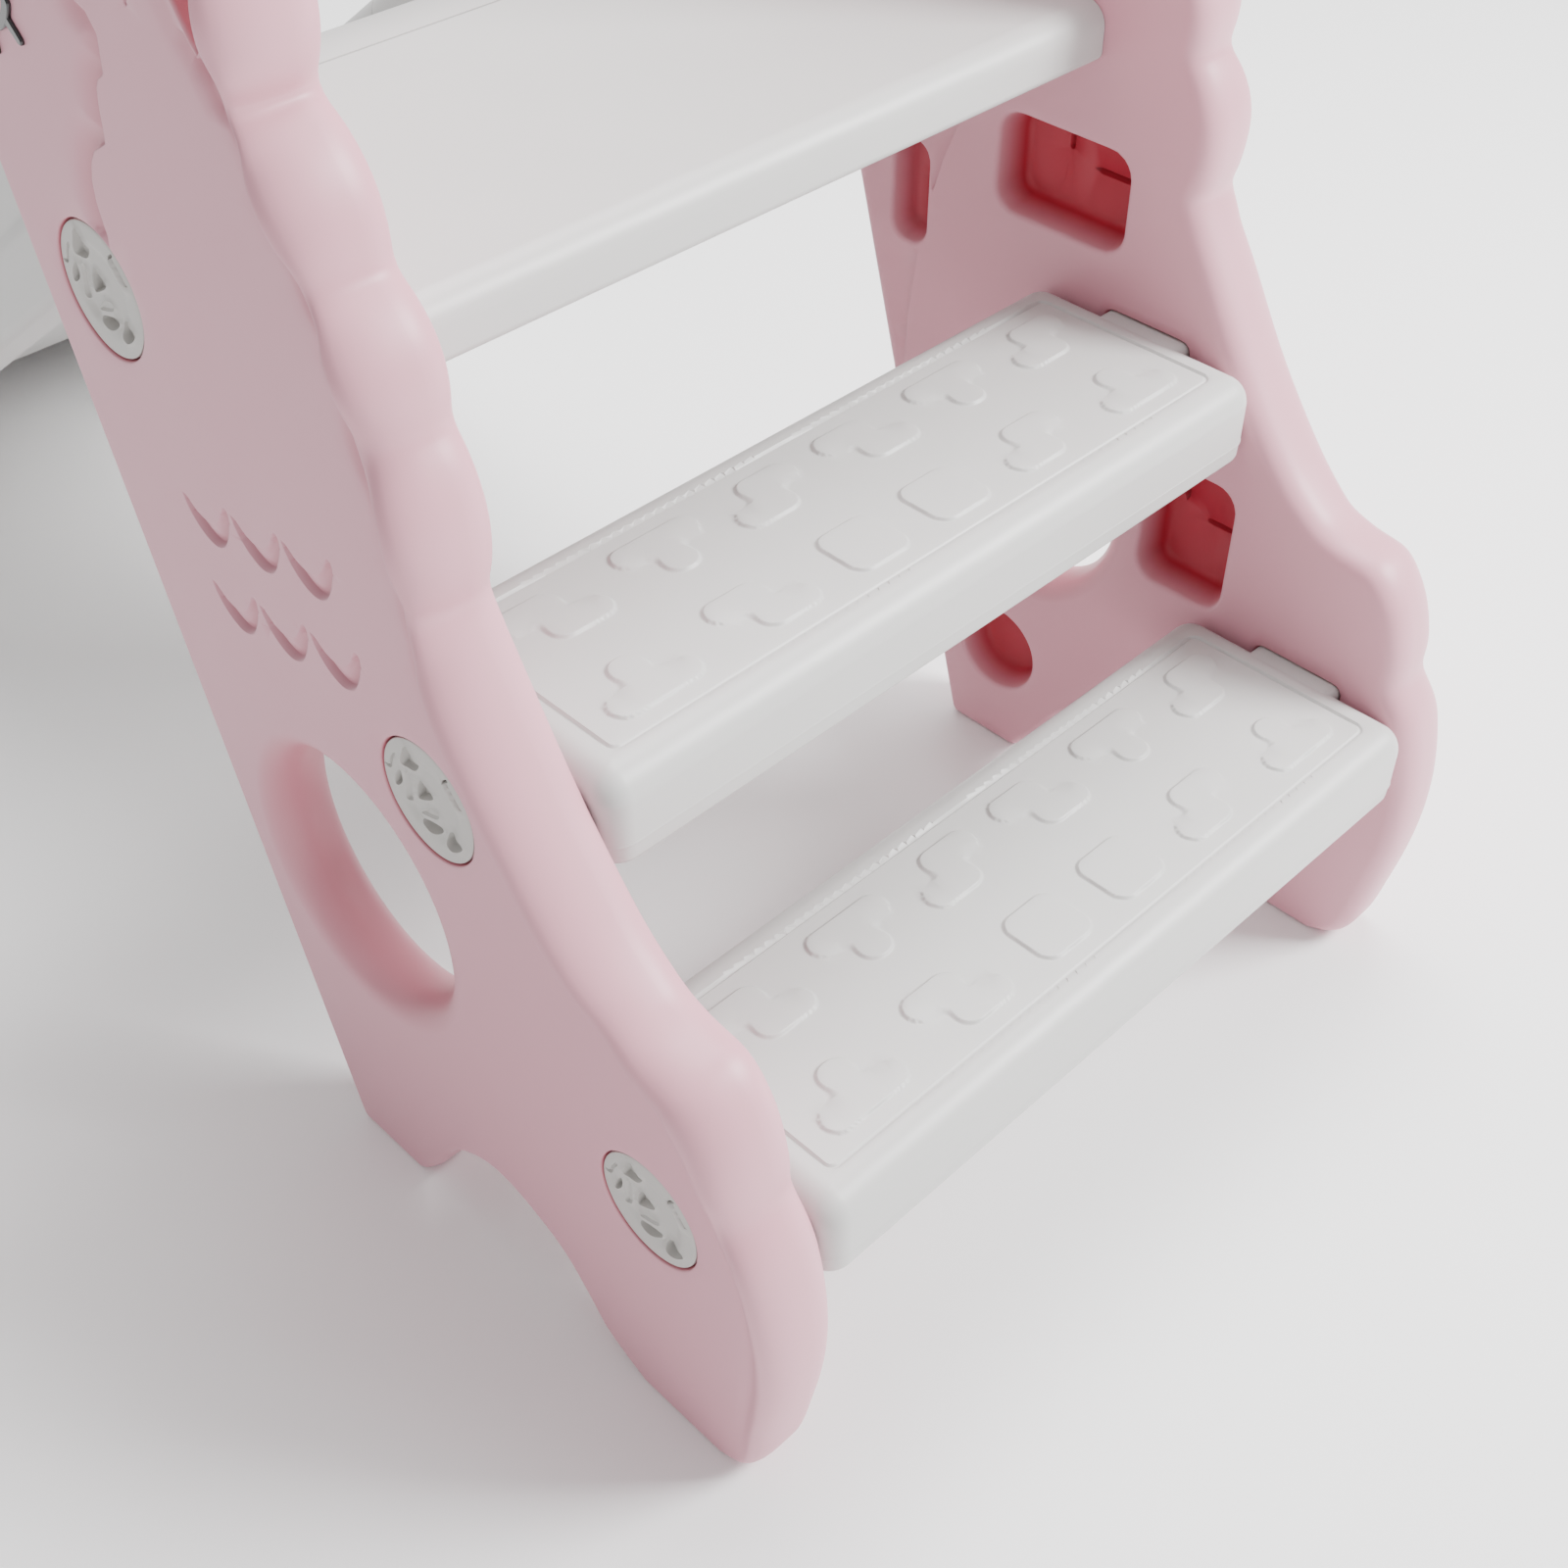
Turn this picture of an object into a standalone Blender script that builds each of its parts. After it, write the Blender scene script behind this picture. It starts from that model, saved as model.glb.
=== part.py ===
"""Toddler slide: two blow-moulded side panels, two treads and a deck held by quarter-turn
locks, and a two-piece chute.

Metres, +Z up. The climbing steps face -Y and the chute runs down to +Y. The origin is on the
floor, under the middle of the slide.
"""

import math

import bmesh
import bpy
from mathutils import Matrix, Vector

# The climb: each tread stands one rise above and one run behind the one below it.
CLEAR_WIDTH = 0.420        # between the side panels' inner faces
FIRST_TREAD_HEIGHT = 0.170
STEP_RISE = 0.150
STEP_RUN = 0.1205
TREAD_DEPTH = 0.139
TREAD_THICKNESS = 0.045
TREAD_TOP_RADIUS = 0.014
TREAD_FOOT_CHAMFER = 0.004
DECK_DEPTH = 0.203
DECK_THICKNESS = 0.028
DECK_FRONT_RADIUS = 0.012
DECK_OVERHANG = 0.0055     # the deck's front edge stands this far before its run line

# Side panels
PANEL_THICKNESS = 0.035
PANEL_EDGE_RADIUS = 0.006
BEAD_RADIUS = 0.0212
BEAD_VALLEY_RADIUS = 0.0130
BEAD_INSET = 0.0012        # the bead stays this far behind the panel's inner face
SCALLOP_PROUD = 0.0115     # a scallop's crest and a valley, in front of the valleys' line
VALLEY_PROUD = 0.0020
KNEE_RADIUS = 0.034
OVAL_HALF_DEPTH = 0.060    # throat of the oval window, along Y
OVAL_HALF_HEIGHT = 0.068
OVAL_FLARE = 0.012         # how far each mouth stands outside the throat
GRIP_SLOT_LENGTH = 0.120
GRIP_SLOT_WIDTH = 0.030
GRIP_LEAN = math.radians(8)
POCKET_DEPTH = 0.022       # moulded pockets in the inner face
POCKET_CORNER = 0.012
FOOT_POCKET_RADIUS = 0.027

# Quarter-turn locks
LOCK_RADIUS = 0.0285
LOCK_CLEARANCE = 0.0008
LOCK_SINK = 0.0006         # the lock's face lies this far inside the panel's face
LOCK_HEAD = 0.0095
LOCK_SHAFT_RADIUS = 0.010
LOCK_EAR_RADIUS = 0.0155
LOCK_EAR_WIDTH = 0.008
LOCK_EAR_THICKNESS = 0.006
LOCK_DISH_RADIUS = 0.0215
LOCK_DISH_DEPTH = 0.003
PETAL_ANGLES = (60, 240)   # two finger hollows in the dish
PETAL_REACH = 0.0185       # from the lock's axis
PETAL_RADIUS = 0.0055
PETAL_DEPTH = 0.0065
PEG_ANGLE = math.radians(-38)
PEG_REACH = 0.0245         # the peg to turn the lock by, from the lock's axis
PEG_RADIUS = 0.0021
PEG_HEIGHT = 0.006
LOCK_DROP = 0.027          # lock axis below the tread it holds
DECK_LOCK_DROP = 0.0235
DECK_LOCK_BACK = 0.1335    # lock axis behind the deck's front edge
LUG_WIDTH = 0.052          # end lug of a tread or of the deck
LUG_DEPTH = 0.012          # how far a lug enters its slot
LUG_HEIGHT = 0.040
LUG_ROOT = 0.030           # how far a lug's solid runs back into its tread
LUG_EDGE_RADIUS = 0.006
LUG_WALL = 0.010           # from a lug's tip to the cavity that the ears turn in
FIT = 0.0004               # gap between moulded parts that touch
SHAFT_FIT = 0.0006         # running gap round a lock's shaft and ears

# Chute
CHUTE_GAP = 0.003          # to each side panel
RAIL_THICKNESS = 0.036
RAIL_HEIGHT = 0.070        # above the bed, square to it
RAIL_EDGE_RADIUS = 0.012
BED_THICKNESS = 0.028
SKIRT_DEPTH = 0.064        # below the bed, square to it
SLOPE = math.radians(36)
CREST_RADIUS = 0.120
RUNOUT_RADIUS = 0.250
RUNOUT_HEIGHT = 0.045
RUNOUT_LENGTH = 0.050
NOSE_FOOT = 0.018          # the exit's rounded nose ends this far above the floor
NOSE_BULGE = 0.008
UPPER_CHUTE = 0.300        # sloping length of the upper section, past the crest
SEAM_GAP = 0.0012
SPIGOT_LENGTH = 0.060
SPIGOT_THICKNESS = 0.018
SPIGOT_HEIGHT = 0.050
PIN_RADIUS = 0.006
PIN_HEAD_RADIUS = 0.013
PIN_HEAD = 0.004
PIN_ALONG = 0.55           # the pin's place along its spigot, as a share of the spigot's length
PIN_UP = 0.017             # above the bed, square to it
SPIGOT_UP = 0.005          # the spigot's middle, above the bed
PIN_REACH = 0.002          # the pin's tip stands out of the spigot, inside the rail
SCREW_SPREAD = 0.55        # the screws' places, as a share of half the clear width
SCREW_BITE = 0.012         # how far a screw enters the deck
SCREW_HOLE_DEPTH = 0.014
FLANGE_LENGTH = 0.042      # chute flange under the deck
FLANGE_THICKNESS = 0.012
HOOK_HEIGHT = 0.009
HOOK_THICKNESS = 0.008
FLANGE_INSET = 0.004       # the flange is this much narrower than the chute at each end
BED_DROP = 0.001           # the bed starts this far below the deck's top
RAIL_START_DROP = 0.012    # the rail's top starts lower, beside the deck
SKIRT_START_RISE = 0.012   # the skirt's lower corner is cut back beside the deck
EYE_THICKNESS = 0.0016
EYE_PLACE = (2, 0.163, 0.092)
EYE_OUTER_RADIUS = 0.021    # the lid's arc
EYE_INNER_RADIUS = 0.0165
LASH_START = 0.019          # lashes, from the lid's centre
LASH_END = 0.031
LASH_ROOT = 0.002           # half widths
LASH_TIP = 0.0016

OVERCUT = 0.010             # how far a cutter stands out of what it cuts
LAP = 0.001                 # how far joined or cut shapes run into one another
SIDES = ((-1, "left"), (1, "right"))

HALF_CLEAR = CLEAR_WIDTH / 2
HALF_CHUTE = HALF_CLEAR - CHUTE_GAP
DECK_HEIGHT = FIRST_TREAD_HEIGHT + 2 * STEP_RISE
DECK_FRONT = 2 * STEP_RUN - DECK_OVERHANG
DECK_REAR = DECK_FRONT + DECK_DEPTH
X_WARD = Matrix.Rotation(math.radians(90), 4, "Y")


def beside(level, back, up):
    """A point of the side view, placed from the front edge of tread 0 or 1, or of the deck."""
    return (level * STEP_RUN + back, FIRST_TREAD_HEIGHT + level * STEP_RISE + up)


def clear_scene():
    for old in list(bpy.data.objects):
        bpy.data.objects.remove(old, do_unlink=True)


def collection(name):
    made = bpy.data.collections.new(name)
    bpy.context.scene.collection.children.link(made)
    return made


def plastic(name, colour, roughness):
    material = bpy.data.materials.new(name)
    material.use_nodes = True
    shader = material.node_tree.nodes["Principled BSDF"]
    shader.inputs["Base Color"].default_value = (*colour, 1)
    shader.inputs["Roughness"].default_value = roughness
    shader.inputs["Metallic"].default_value = 0
    return material


# Places in the panel's side view, as (level, back, up).
KNEE_PLACE = (0, 0.052, 0.040)
WINDOW_PLACE = (1, 0.138, -0.1255)
GRIP_PLACE = (2, 0.036, 0.168)
POCKET_CORNERS = {
    "a": ((1, 0.0910, 0.028), (1, 0.1730, 0.081)),
    "b": ((0, 0.1225, 0.003), (0, 0.1765, 0.079)),
}
FOOT_POCKET_PLACE = (1, 0.1450, 0.068)

PINK = (0.76, 0.50, 0.54)
GREY = (0.62, 0.62, 0.61)
LOCK_GREY = (0.55, 0.54, 0.52)
BLACK = (0.012, 0.012, 0.013)


def finish_object(name, mesh, helper=False):
    made = bpy.data.objects.new(name, mesh)
    (cutters if helper else parts).objects.link(made)
    made.parent = middle
    if helper:
        made.hide_render = True
        made.display_type = "WIRE"
    return made


def dress(piece, colour, roughness):
    piece.data.materials.clear()
    piece.data.materials.append(plastic(piece.name + "_plastic", colour, roughness))
    piece.data.shade_smooth()
    piece.data.set_sharp_from_angle(angle=math.radians(35))


def from_curve(name, curve, matrix, helper):
    """The curve's evaluated surface as a closed mesh, in the slide's own frame."""
    guide = bpy.data.objects.new(name + "_guide", curve)
    bpy.context.scene.collection.objects.link(guide)
    graph = bpy.context.evaluated_depsgraph_get()
    mesh = bpy.data.meshes.new_from_object(guide.evaluated_get(graph))
    bpy.data.objects.remove(guide, do_unlink=True)
    mesh.transform(matrix)
    shape = bmesh.new()
    shape.from_mesh(mesh)
    bmesh.ops.remove_doubles(shape, verts=shape.verts, dist=1e-5)
    bmesh.ops.recalc_face_normals(shape, faces=shape.faces)
    shape.to_mesh(mesh)
    shape.free()
    mesh.name = name
    return finish_object(name, mesh, helper)


def plate(name, outline, low_x, high_x, helper=False):
    """A side-view outline of (y, z) points, extruded across from low_x to high_x."""
    curve = bpy.data.curves.new(name, "CURVE")
    curve.dimensions = "2D"
    curve.fill_mode = "BOTH"
    curve.extrude = (high_x - low_x) / 2
    spline = curve.splines.new("POLY")
    spline.points.add(len(outline) - 1)
    spline.use_cyclic_u = True
    for point, (y, z) in zip(spline.points, outline):
        point.co = (y, z, 0, 1)
    side_view = Matrix(((0, 0, 1, (low_x + high_x) / 2), (1, 0, 0, 0), (0, 1, 0, 0), (0, 0, 0, 1)))
    return from_curve(name, curve, side_view, helper)


def tube(name, route, radii, bevel_resolution, helper=False):
    curve = bpy.data.curves.new(name, "CURVE")
    curve.dimensions = "3D"
    curve.bevel_depth = 1
    curve.bevel_resolution = bevel_resolution
    curve.use_fill_caps = True
    spline = curve.splines.new("POLY")
    spline.points.add(len(route) - 1)
    for point, place, radius in zip(spline.points, route, radii):
        point.co = (*place, 1)
        point.radius = radius
    return from_curve(name, curve, Matrix(), helper)


def drum(name, low_x, high_x, y, z, low_radius, high_radius=None, squash=1, sides=32,
         helper=True):
    """A round or oval solid along X; its radius may change from one end to the other."""
    shape = bmesh.new()
    bmesh.ops.create_cone(
        shape, cap_ends=True, segments=sides, radius1=low_radius,
        radius2=low_radius if high_radius is None else high_radius, depth=high_x - low_x,
    )
    place = Matrix.Translation(((low_x + high_x) / 2, y, z))
    shape.transform(place @ Matrix.Diagonal((1, squash, 1, 1)) @ X_WARD)
    return shape_object(name, shape, helper)


def block(name, low, high, helper=True):
    """A box between two corners."""
    shape = bmesh.new()
    bmesh.ops.create_cube(shape, size=1)
    size = [b - a for a, b in zip(low, high)]
    middle_point = [(a + b) / 2 for a, b in zip(low, high)]
    shape.transform(Matrix.Translation(middle_point) @ Matrix.Diagonal((*size, 1)))
    return shape_object(name, shape, helper)


def pillar(name, x, y, low_z, high_z, radius, helper=True):
    """A round solid that stands upright."""
    shape = bmesh.new()
    bmesh.ops.create_cone(shape, cap_ends=True, segments=16, radius1=radius, radius2=radius,
                          depth=high_z - low_z)
    shape.transform(Matrix.Translation((x, y, (low_z + high_z) / 2)))
    return shape_object(name, shape, helper)


def shape_object(name, shape, helper):
    mesh = bpy.data.meshes.new(name)
    shape.to_mesh(mesh)
    shape.free()
    return finish_object(name, mesh, helper)


# MANIFOLD is named where EXACT left open edges: the panels' bead and the chute's rails.
def boolean(piece, other, operation, solver="EXACT"):
    modifier = piece.modifiers.new(other.name, "BOOLEAN")
    modifier.operation = operation
    modifier.solver = solver
    modifier.object = other


def cut(piece, *tools, solver="EXACT"):
    for tool in tools:
        boolean(piece, tool, "DIFFERENCE", solver)


def join(piece, *additions, solver="EXACT"):
    for addition in additions:
        boolean(piece, addition, "UNION", solver)


def round_edges(piece, width, segments, angle=40):
    modifier = piece.modifiers.new("rounded edges", "BEVEL")
    modifier.width = width
    modifier.segments = segments
    modifier.limit_method = "ANGLE"
    modifier.angle_limit = math.radians(angle)


def arc(start, end, sagitta, steps):
    """Points after start up to end on a circle's arc that bulges left of the way by sagitta."""
    start, end = Vector(start), Vector(end)
    half = (end - start) / 2
    left = Vector((-half.y, half.x)).normalized()
    radius = (half.length_squared + sagitta ** 2) / (2 * abs(sagitta))
    side = 1 if sagitta > 0 else -1
    centre = start + half + left * side * (abs(sagitta) - radius)
    reach = math.asin(min(1, half.length / radius))
    points = []
    for step in range(1, steps + 1):
        angle = reach * (1 - 2 * step / steps)
        along = half.normalized() * math.sin(-angle) * radius
        points.append(tuple(centre + along + left * side * math.cos(angle) * radius))
    return points


def smooth(points, steps):
    """A Catmull-Rom curve through the points, with its end points kept."""
    ends = [points[0], *points, points[-1]]
    made = [points[0]]
    for a, b, c, d in zip(ends, ends[1:], ends[2:], ends[3:]):
        for step in range(1, steps + 1):
            t = step / steps
            made.append(tuple(
                0.5 * (2 * q + (r - p) * t + (2 * p - 5 * q + 4 * r - s) * t * t
                       + (3 * q - p - 3 * r + s) * t ** 3)
                for p, q, r, s in zip(a, b, c, d)
            ))
    return made


# The panel's front edge, from the front foot up over the head, as (level, back, up).
FOOT_FRONT = [(0, 0.0265, None), (0, 0.0105, 0.010), (0, 0.0005, 0.045), (0, -0.007, 0.085)]
SHIN = [(0, -0.0065, -0.050), (0, 0.0035, -0.007), (0, 0.027, 0.035), (0, 0.060, 0.070),
        (0, 0.0985, 0.102)]
THIGH = [(1, 0.008, -0.008), (1, 0.0435, 0.032), (1, 0.0535, 0.070)]
VALLEYS = [(1, 0.064, 0.137), (2, -0.0335, 0.038), (2, -0.0025, 0.091), (2, 0.0015, 0.148),
           (2, 0.009, 0.202), (2, 0.031, 0.252), (2, 0.074, 0.295), (2, 0.131, 0.312),
           (2, 0.186, 0.292), (2, 0.222, 0.245)]
FACE = [(2, 0.222, 0.245), (2, 0.245, 0.215), (2, 0.264, 0.168), (2, 0.280, 0.125),
        (2, 0.276, 0.085), (2, 0.252, 0.048), (2, 0.2135, 0.026), (2, 0.1925, 0.013)]
REAR_FOOT = (2 * STEP_RUN + 0.0555, 2 * STEP_RUN + 0.0055)
FRONT_FOOT = (0.0265, 0.0805)
ARCH = [(1, 0.1080, 0.022), (1, 0.0915, 0.048), (1, 0.058, 0.064), (1, 0.018, 0.051),
        (1, -0.0025, 0.030), (1, -0.015, 0.014)]


def side_point(level, back, up, from_floor=False):
    y, z = beside(level, back, up or 0)
    return (y, 0.0 if up is None else up if from_floor else z)


def bead_line():
    """The bead's centre line from the foot up over the head, with its radius at each point."""
    leg = [side_point(*point, from_floor=True) for point in FOOT_FRONT]
    leg += [side_point(*point) for point in SHIN + THIGH]
    line = smooth(leg[1:], 2)
    radii = [BEAD_RADIUS] * (len(line) - 1) + [BEAD_VALLEY_RADIUS]
    proud = [0.0] * (len(line) - 1) + [VALLEY_PROUD]
    for valley in VALLEYS:
        start, end = Vector(line[-1]), Vector(side_point(*valley))
        for step in (1, 2, 3, 4):
            line.append(tuple(start.lerp(end, step / 4)))
            crest = math.sin(math.pi * step / 4)
            radii.append(BEAD_VALLEY_RADIUS + (BEAD_RADIUS - BEAD_VALLEY_RADIUS) * crest)
            proud.append(VALLEY_PROUD + (SCALLOP_PROUD - VALLEY_PROUD) * crest)
    centre = []
    for i, (point, radius, out) in enumerate(zip(line, radii, proud)):
        before, after = Vector(line[max(i - 1, 0)]), Vector(line[min(i + 1, len(line) - 1)])
        along = (after - before).normalized()
        inward = radius - out
        centre.append((point[0] + along.y * inward, point[1] - along.x * inward))
    return centre, radii


def panel_outline():
    edge, _ = bead_line()
    face = smooth([edge[-1], *[side_point(*point) for point in FACE[1:]]], 3)
    arch = smooth([(REAR_FOOT[1], 0.0), *[side_point(*p, from_floor=True) for p in ARCH],
                   (FRONT_FOOT[1], 0.0)], 2)
    return [(FRONT_FOOT[0], 0.0)] + edge + face[1:] + [(REAR_FOOT[0], 0.0)] + arch


def lock_places():
    """(name, y, z) of each lock's axis on one side."""
    middle_of_tread = TREAD_DEPTH / 2
    return [
        ("lower", *beside(0, middle_of_tread, -LOCK_DROP)),
        ("upper", *beside(1, middle_of_tread, -LOCK_DROP)),
        ("deck", DECK_FRONT + DECK_LOCK_BACK, DECK_HEIGHT - DECK_LOCK_DROP),
    ]


def across(side, near, far):
    """Two distances from the middle plane, as low and high X on the given side."""
    return (near, far) if side > 0 else (-far, -near)


def side_panel(name, side):
    inner, outer = HALF_CLEAR, HALF_CLEAR + PANEL_THICKNESS
    panel = plate(name, panel_outline(), *across(side, inner, outer))
    round_edges(panel, PANEL_EDGE_RADIUS, 1)
    line, radii = bead_line()
    bead_x = side * (inner + BEAD_INSET + BEAD_RADIUS)
    bead = tube(name + "_bead", [(bead_x, y, z) for y, z in line], radii, 2, helper=True)
    join(panel, bead, knee(name + "_knee", bead_x), solver="MANIFOLD")
    cut_window(panel, name, side, inner, outer)
    cut_pockets(panel, name, side, inner)
    for place, y, z in lock_places():
        cut_lock_seat(panel, f"{name}_{place}", side, y, z, inner, outer)
    dress(panel, PINK, 0.45)
    return panel


def knee(name, x):
    """The rounded knee that stands out of the bead beside the lower tread."""
    y, z = beside(*KNEE_PLACE)
    shape = bmesh.new()
    bmesh.ops.create_uvsphere(shape, u_segments=16, v_segments=10, radius=KNEE_RADIUS)
    shape.transform(Matrix.Translation((x, y, z))
                    @ Matrix.Diagonal((BEAD_RADIUS / KNEE_RADIUS, 1, 1, 1)) @ X_WARD)
    return shape_object(name, shape, helper=True)


def cut_window(panel, name, side, inner, outer):
    """The flared oval window and the grip slot."""
    y, z = beside(*WINDOW_PLACE)
    squash = OVAL_HALF_DEPTH / OVAL_HALF_HEIGHT
    throat = (inner + outer) / 2
    mouth = OVAL_HALF_HEIGHT + OVAL_FLARE
    slope = OVAL_FLARE / (throat - inner)
    wide = mouth + OVERCUT * slope
    ends = [(wide, OVAL_HALF_HEIGHT), (OVAL_HALF_HEIGHT, wide)]
    low, high = across(side, inner - OVERCUT, outer + OVERCUT)
    spans = [(low, side * throat + FIT), (side * throat - FIT, high)]
    for part, (span, radii) in enumerate(zip(spans, ends)):
        mouth_cutter = drum(f"{name}_window_{part}", *span, y, z, *radii, squash=squash, sides=28)
        cut(panel, mouth_cutter, solver="MANIFOLD")
    slot_y, slot_z = beside(*GRIP_PLACE)
    half = (GRIP_SLOT_LENGTH - GRIP_SLOT_WIDTH) / 2
    slot = []
    for end in (1, -1):
        for step in range(9):
            angle = math.pi * step / 8 + (0 if end > 0 else math.pi)
            slot.append((GRIP_SLOT_WIDTH / 2 * math.cos(angle),
                         end * half + GRIP_SLOT_WIDTH / 2 * math.sin(angle)))
    turned = [(slot_y + y * math.cos(GRIP_LEAN) + z * math.sin(GRIP_LEAN),
               slot_z - y * math.sin(GRIP_LEAN) + z * math.cos(GRIP_LEAN)) for y, z in slot]
    span = across(side, inner - OVERCUT, outer + OVERCUT)
    grip_slot = plate(name + "_grip_slot", turned, *span, helper=True)
    cut(panel, grip_slot, solver="MANIFOLD")


def cut_pockets(panel, name, side, inner):
    """Kiss-off pockets moulded into the inner face."""
    floor = inner + POCKET_DEPTH
    near, far = across(side, inner - OVERCUT, floor)
    for label, (low, high) in POCKET_CORNERS.items():
        pocket = block(f"{name}_pocket_{label}", (near, *beside(*low)), (far, *beside(*high)))
        round_edges(pocket, POCKET_CORNER, 2)
        cut(panel, pocket, solver="MANIFOLD")
    y, z = side_point(*FOOT_POCKET_PLACE, from_floor=True)
    round_pocket = drum(name + "_pocket_c", near, far, y, z, FOOT_POCKET_RADIUS, sides=20)
    cut(panel, round_pocket, solver="MANIFOLD")


def cut_lock_seat(panel, name, side, y, z, inner, outer):
    """The lock's round pocket, its shaft hole, and the slot that a lug enters."""
    floor = outer - LOCK_SINK - LOCK_HEAD - FIT
    seat = drum(name + "_seat", *across(side, floor, outer + OVERCUT), y, z,
                LOCK_RADIUS + LOCK_CLEARANCE)
    hole = drum(name + "_hole", *across(side, inner - OVERCUT, outer), y, z,
                LOCK_EAR_RADIUS + SHAFT_FIT, sides=24)
    half = LUG_WIDTH / 2 + FIT
    top = lug_top(z) + FIT
    near, far = across(side, inner - OVERCUT, inner + LUG_DEPTH + FIT)
    slot = block(name + "_slot", (near, y - half, top - LUG_HEIGHT - 2 * FIT), (far, y + half, top))
    cut(panel, seat, hole, slot, solver="MANIFOLD")


def lug_top(lock_z):
    return lock_z + LUG_HEIGHT / 2


def add_lugs(piece, name, y, z):
    """End lugs that enter the panels' slots, each with a keyed cavity for its lock."""
    for side, label in SIDES:
        end = HALF_CLEAR - FIT
        tip = HALF_CLEAR + LUG_DEPTH
        half = LUG_WIDTH / 2
        top = lug_top(z)
        near, far = across(side, end - LUG_ROOT, tip)
        lug = block(f"{name}_{label}_lug", (near, y - half, top - LUG_HEIGHT), (far, y + half, top))
        round_edges(lug, LUG_EDGE_RADIUS, 2, 60)
        join(piece, lug)
    key_half = LOCK_EAR_RADIUS + 2 * SHAFT_FIT
    key_width = LOCK_EAR_WIDTH / 2 + 2 * SHAFT_FIT
    behind = HALF_CLEAR + LUG_DEPTH - LUG_WALL
    deep = behind - LOCK_EAR_THICKNESS - 4 * SHAFT_FIT
    for side, label in SIDES:
        near, far = across(side, behind - LAP, HALF_CLEAR + LUG_DEPTH + OVERCUT)
        bore = drum(f"{name}_{label}_bore", near, far, y, z, LOCK_SHAFT_RADIUS + SHAFT_FIT, sides=24)
        key = block(f"{name}_{label}_key", (near, y - key_width, z - key_half),
                    (far, y + key_width, z + key_half))
        cavity = drum(f"{name}_{label}_cavity", *across(side, deep, behind), y, z, key_half, sides=24)
        cut(piece, bore, key, cavity)


def round_top(shape, low_z, high_z, radius, chamfer):
    """Rounds a box's top edges and chamfers its bottom ones."""
    top = [e for e in shape.edges if all(v.co.z > high_z - 1e-6 for v in e.verts)]
    bmesh.ops.bevel(shape, geom=top, offset=radius, segments=4, profile=0.5, affect="EDGES")
    foot = [e for e in shape.edges if all(v.co.z < low_z + 1e-6 for v in e.verts)]
    bmesh.ops.bevel(shape, geom=foot, offset=chamfer, segments=1, profile=0.5, affect="EDGES")


def tread(name, level):
    y, z = beside(level, 0, 0)
    half = HALF_CLEAR - FIT
    shape = bmesh.new()
    bmesh.ops.create_cube(shape, size=1)
    shape.transform(Matrix.Translation((0, y + TREAD_DEPTH / 2, z - TREAD_THICKNESS / 2))
                    @ Matrix.Diagonal((2 * half, TREAD_DEPTH, TREAD_THICKNESS, 1)))
    round_top(shape, z - TREAD_THICKNESS, z, TREAD_TOP_RADIUS, TREAD_FOOT_CHAMFER)
    made = shape_object(name, shape, helper=False)
    add_lugs(made, name, y + TREAD_DEPTH / 2, z - LOCK_DROP)
    dress(made, GREY, 0.5)
    return made


def deck():
    low = (-HALF_CLEAR + FIT, DECK_FRONT, DECK_HEIGHT - DECK_THICKNESS)
    high = (HALF_CLEAR - FIT, DECK_REAR, DECK_HEIGHT)
    shape = bmesh.new()
    bmesh.ops.create_cube(shape, size=1)
    size = [b - a for a, b in zip(low, high)]
    shape.transform(Matrix.Translation([(a + b) / 2 for a, b in zip(low, high)])
                    @ Matrix.Diagonal((*size, 1)))
    front = [e for e in shape.edges if all(v.co.y < low[1] + 1e-6 and v.co.z > high[2] - 1e-6
                                           for v in e.verts)]
    bmesh.ops.bevel(shape, geom=front, offset=DECK_FRONT_RADIUS, segments=4, profile=0.5, affect="EDGES")
    made = shape_object("deck", shape, helper=False)
    y = DECK_FRONT + DECK_LOCK_BACK
    add_lugs(made, "deck", y, DECK_HEIGHT - DECK_LOCK_DROP)
    hook_y = DECK_REAR - FLANGE_LENGTH
    groove = block("deck_hook_groove",
                   (-HALF_CHUTE, hook_y - 2 * FIT, low[2] - OVERCUT),
                   (HALF_CHUTE, hook_y + HOOK_THICKNESS + 4 * FIT, low[2] + HOOK_HEIGHT + 2 * FIT))
    cut(made, groove)
    for x in flange_screw_places():
        cut(made, screw_hole(f"deck_screw_hole_{x:.2f}", x, low[2] - OVERCUT,
                             low[2] + SCREW_HOLE_DEPTH))
    dress(made, GREY, 0.5)
    return made


def flange_screw_places():
    return (-HALF_CLEAR * SCREW_SPREAD, HALF_CLEAR * SCREW_SPREAD)


def flange_screw_y():
    return DECK_REAR - FLANGE_LENGTH / 2 + HOOK_THICKNESS / 2


def screw_hole(name, x, low_z, high_z):
    return pillar(name, x, flange_screw_y(), low_z, high_z, PIN_RADIUS + FIT)


def flange_screw(name, x):
    """A plastic screw up through the chute's flange into the deck."""
    deck_under = DECK_HEIGHT - DECK_THICKNESS
    head_top = deck_under - FIT - FLANGE_THICKNESS - FIT
    made = pillar(name, x, flange_screw_y(), head_top - PIN_HEAD, head_top, PIN_HEAD_RADIUS,
                  helper=False)
    join(made, pillar(name + "_shank", x, flange_screw_y(), head_top - LAP,
                      deck_under + SCREW_BITE, PIN_RADIUS))
    dress(made, LOCK_GREY, 0.5)
    return made


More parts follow.
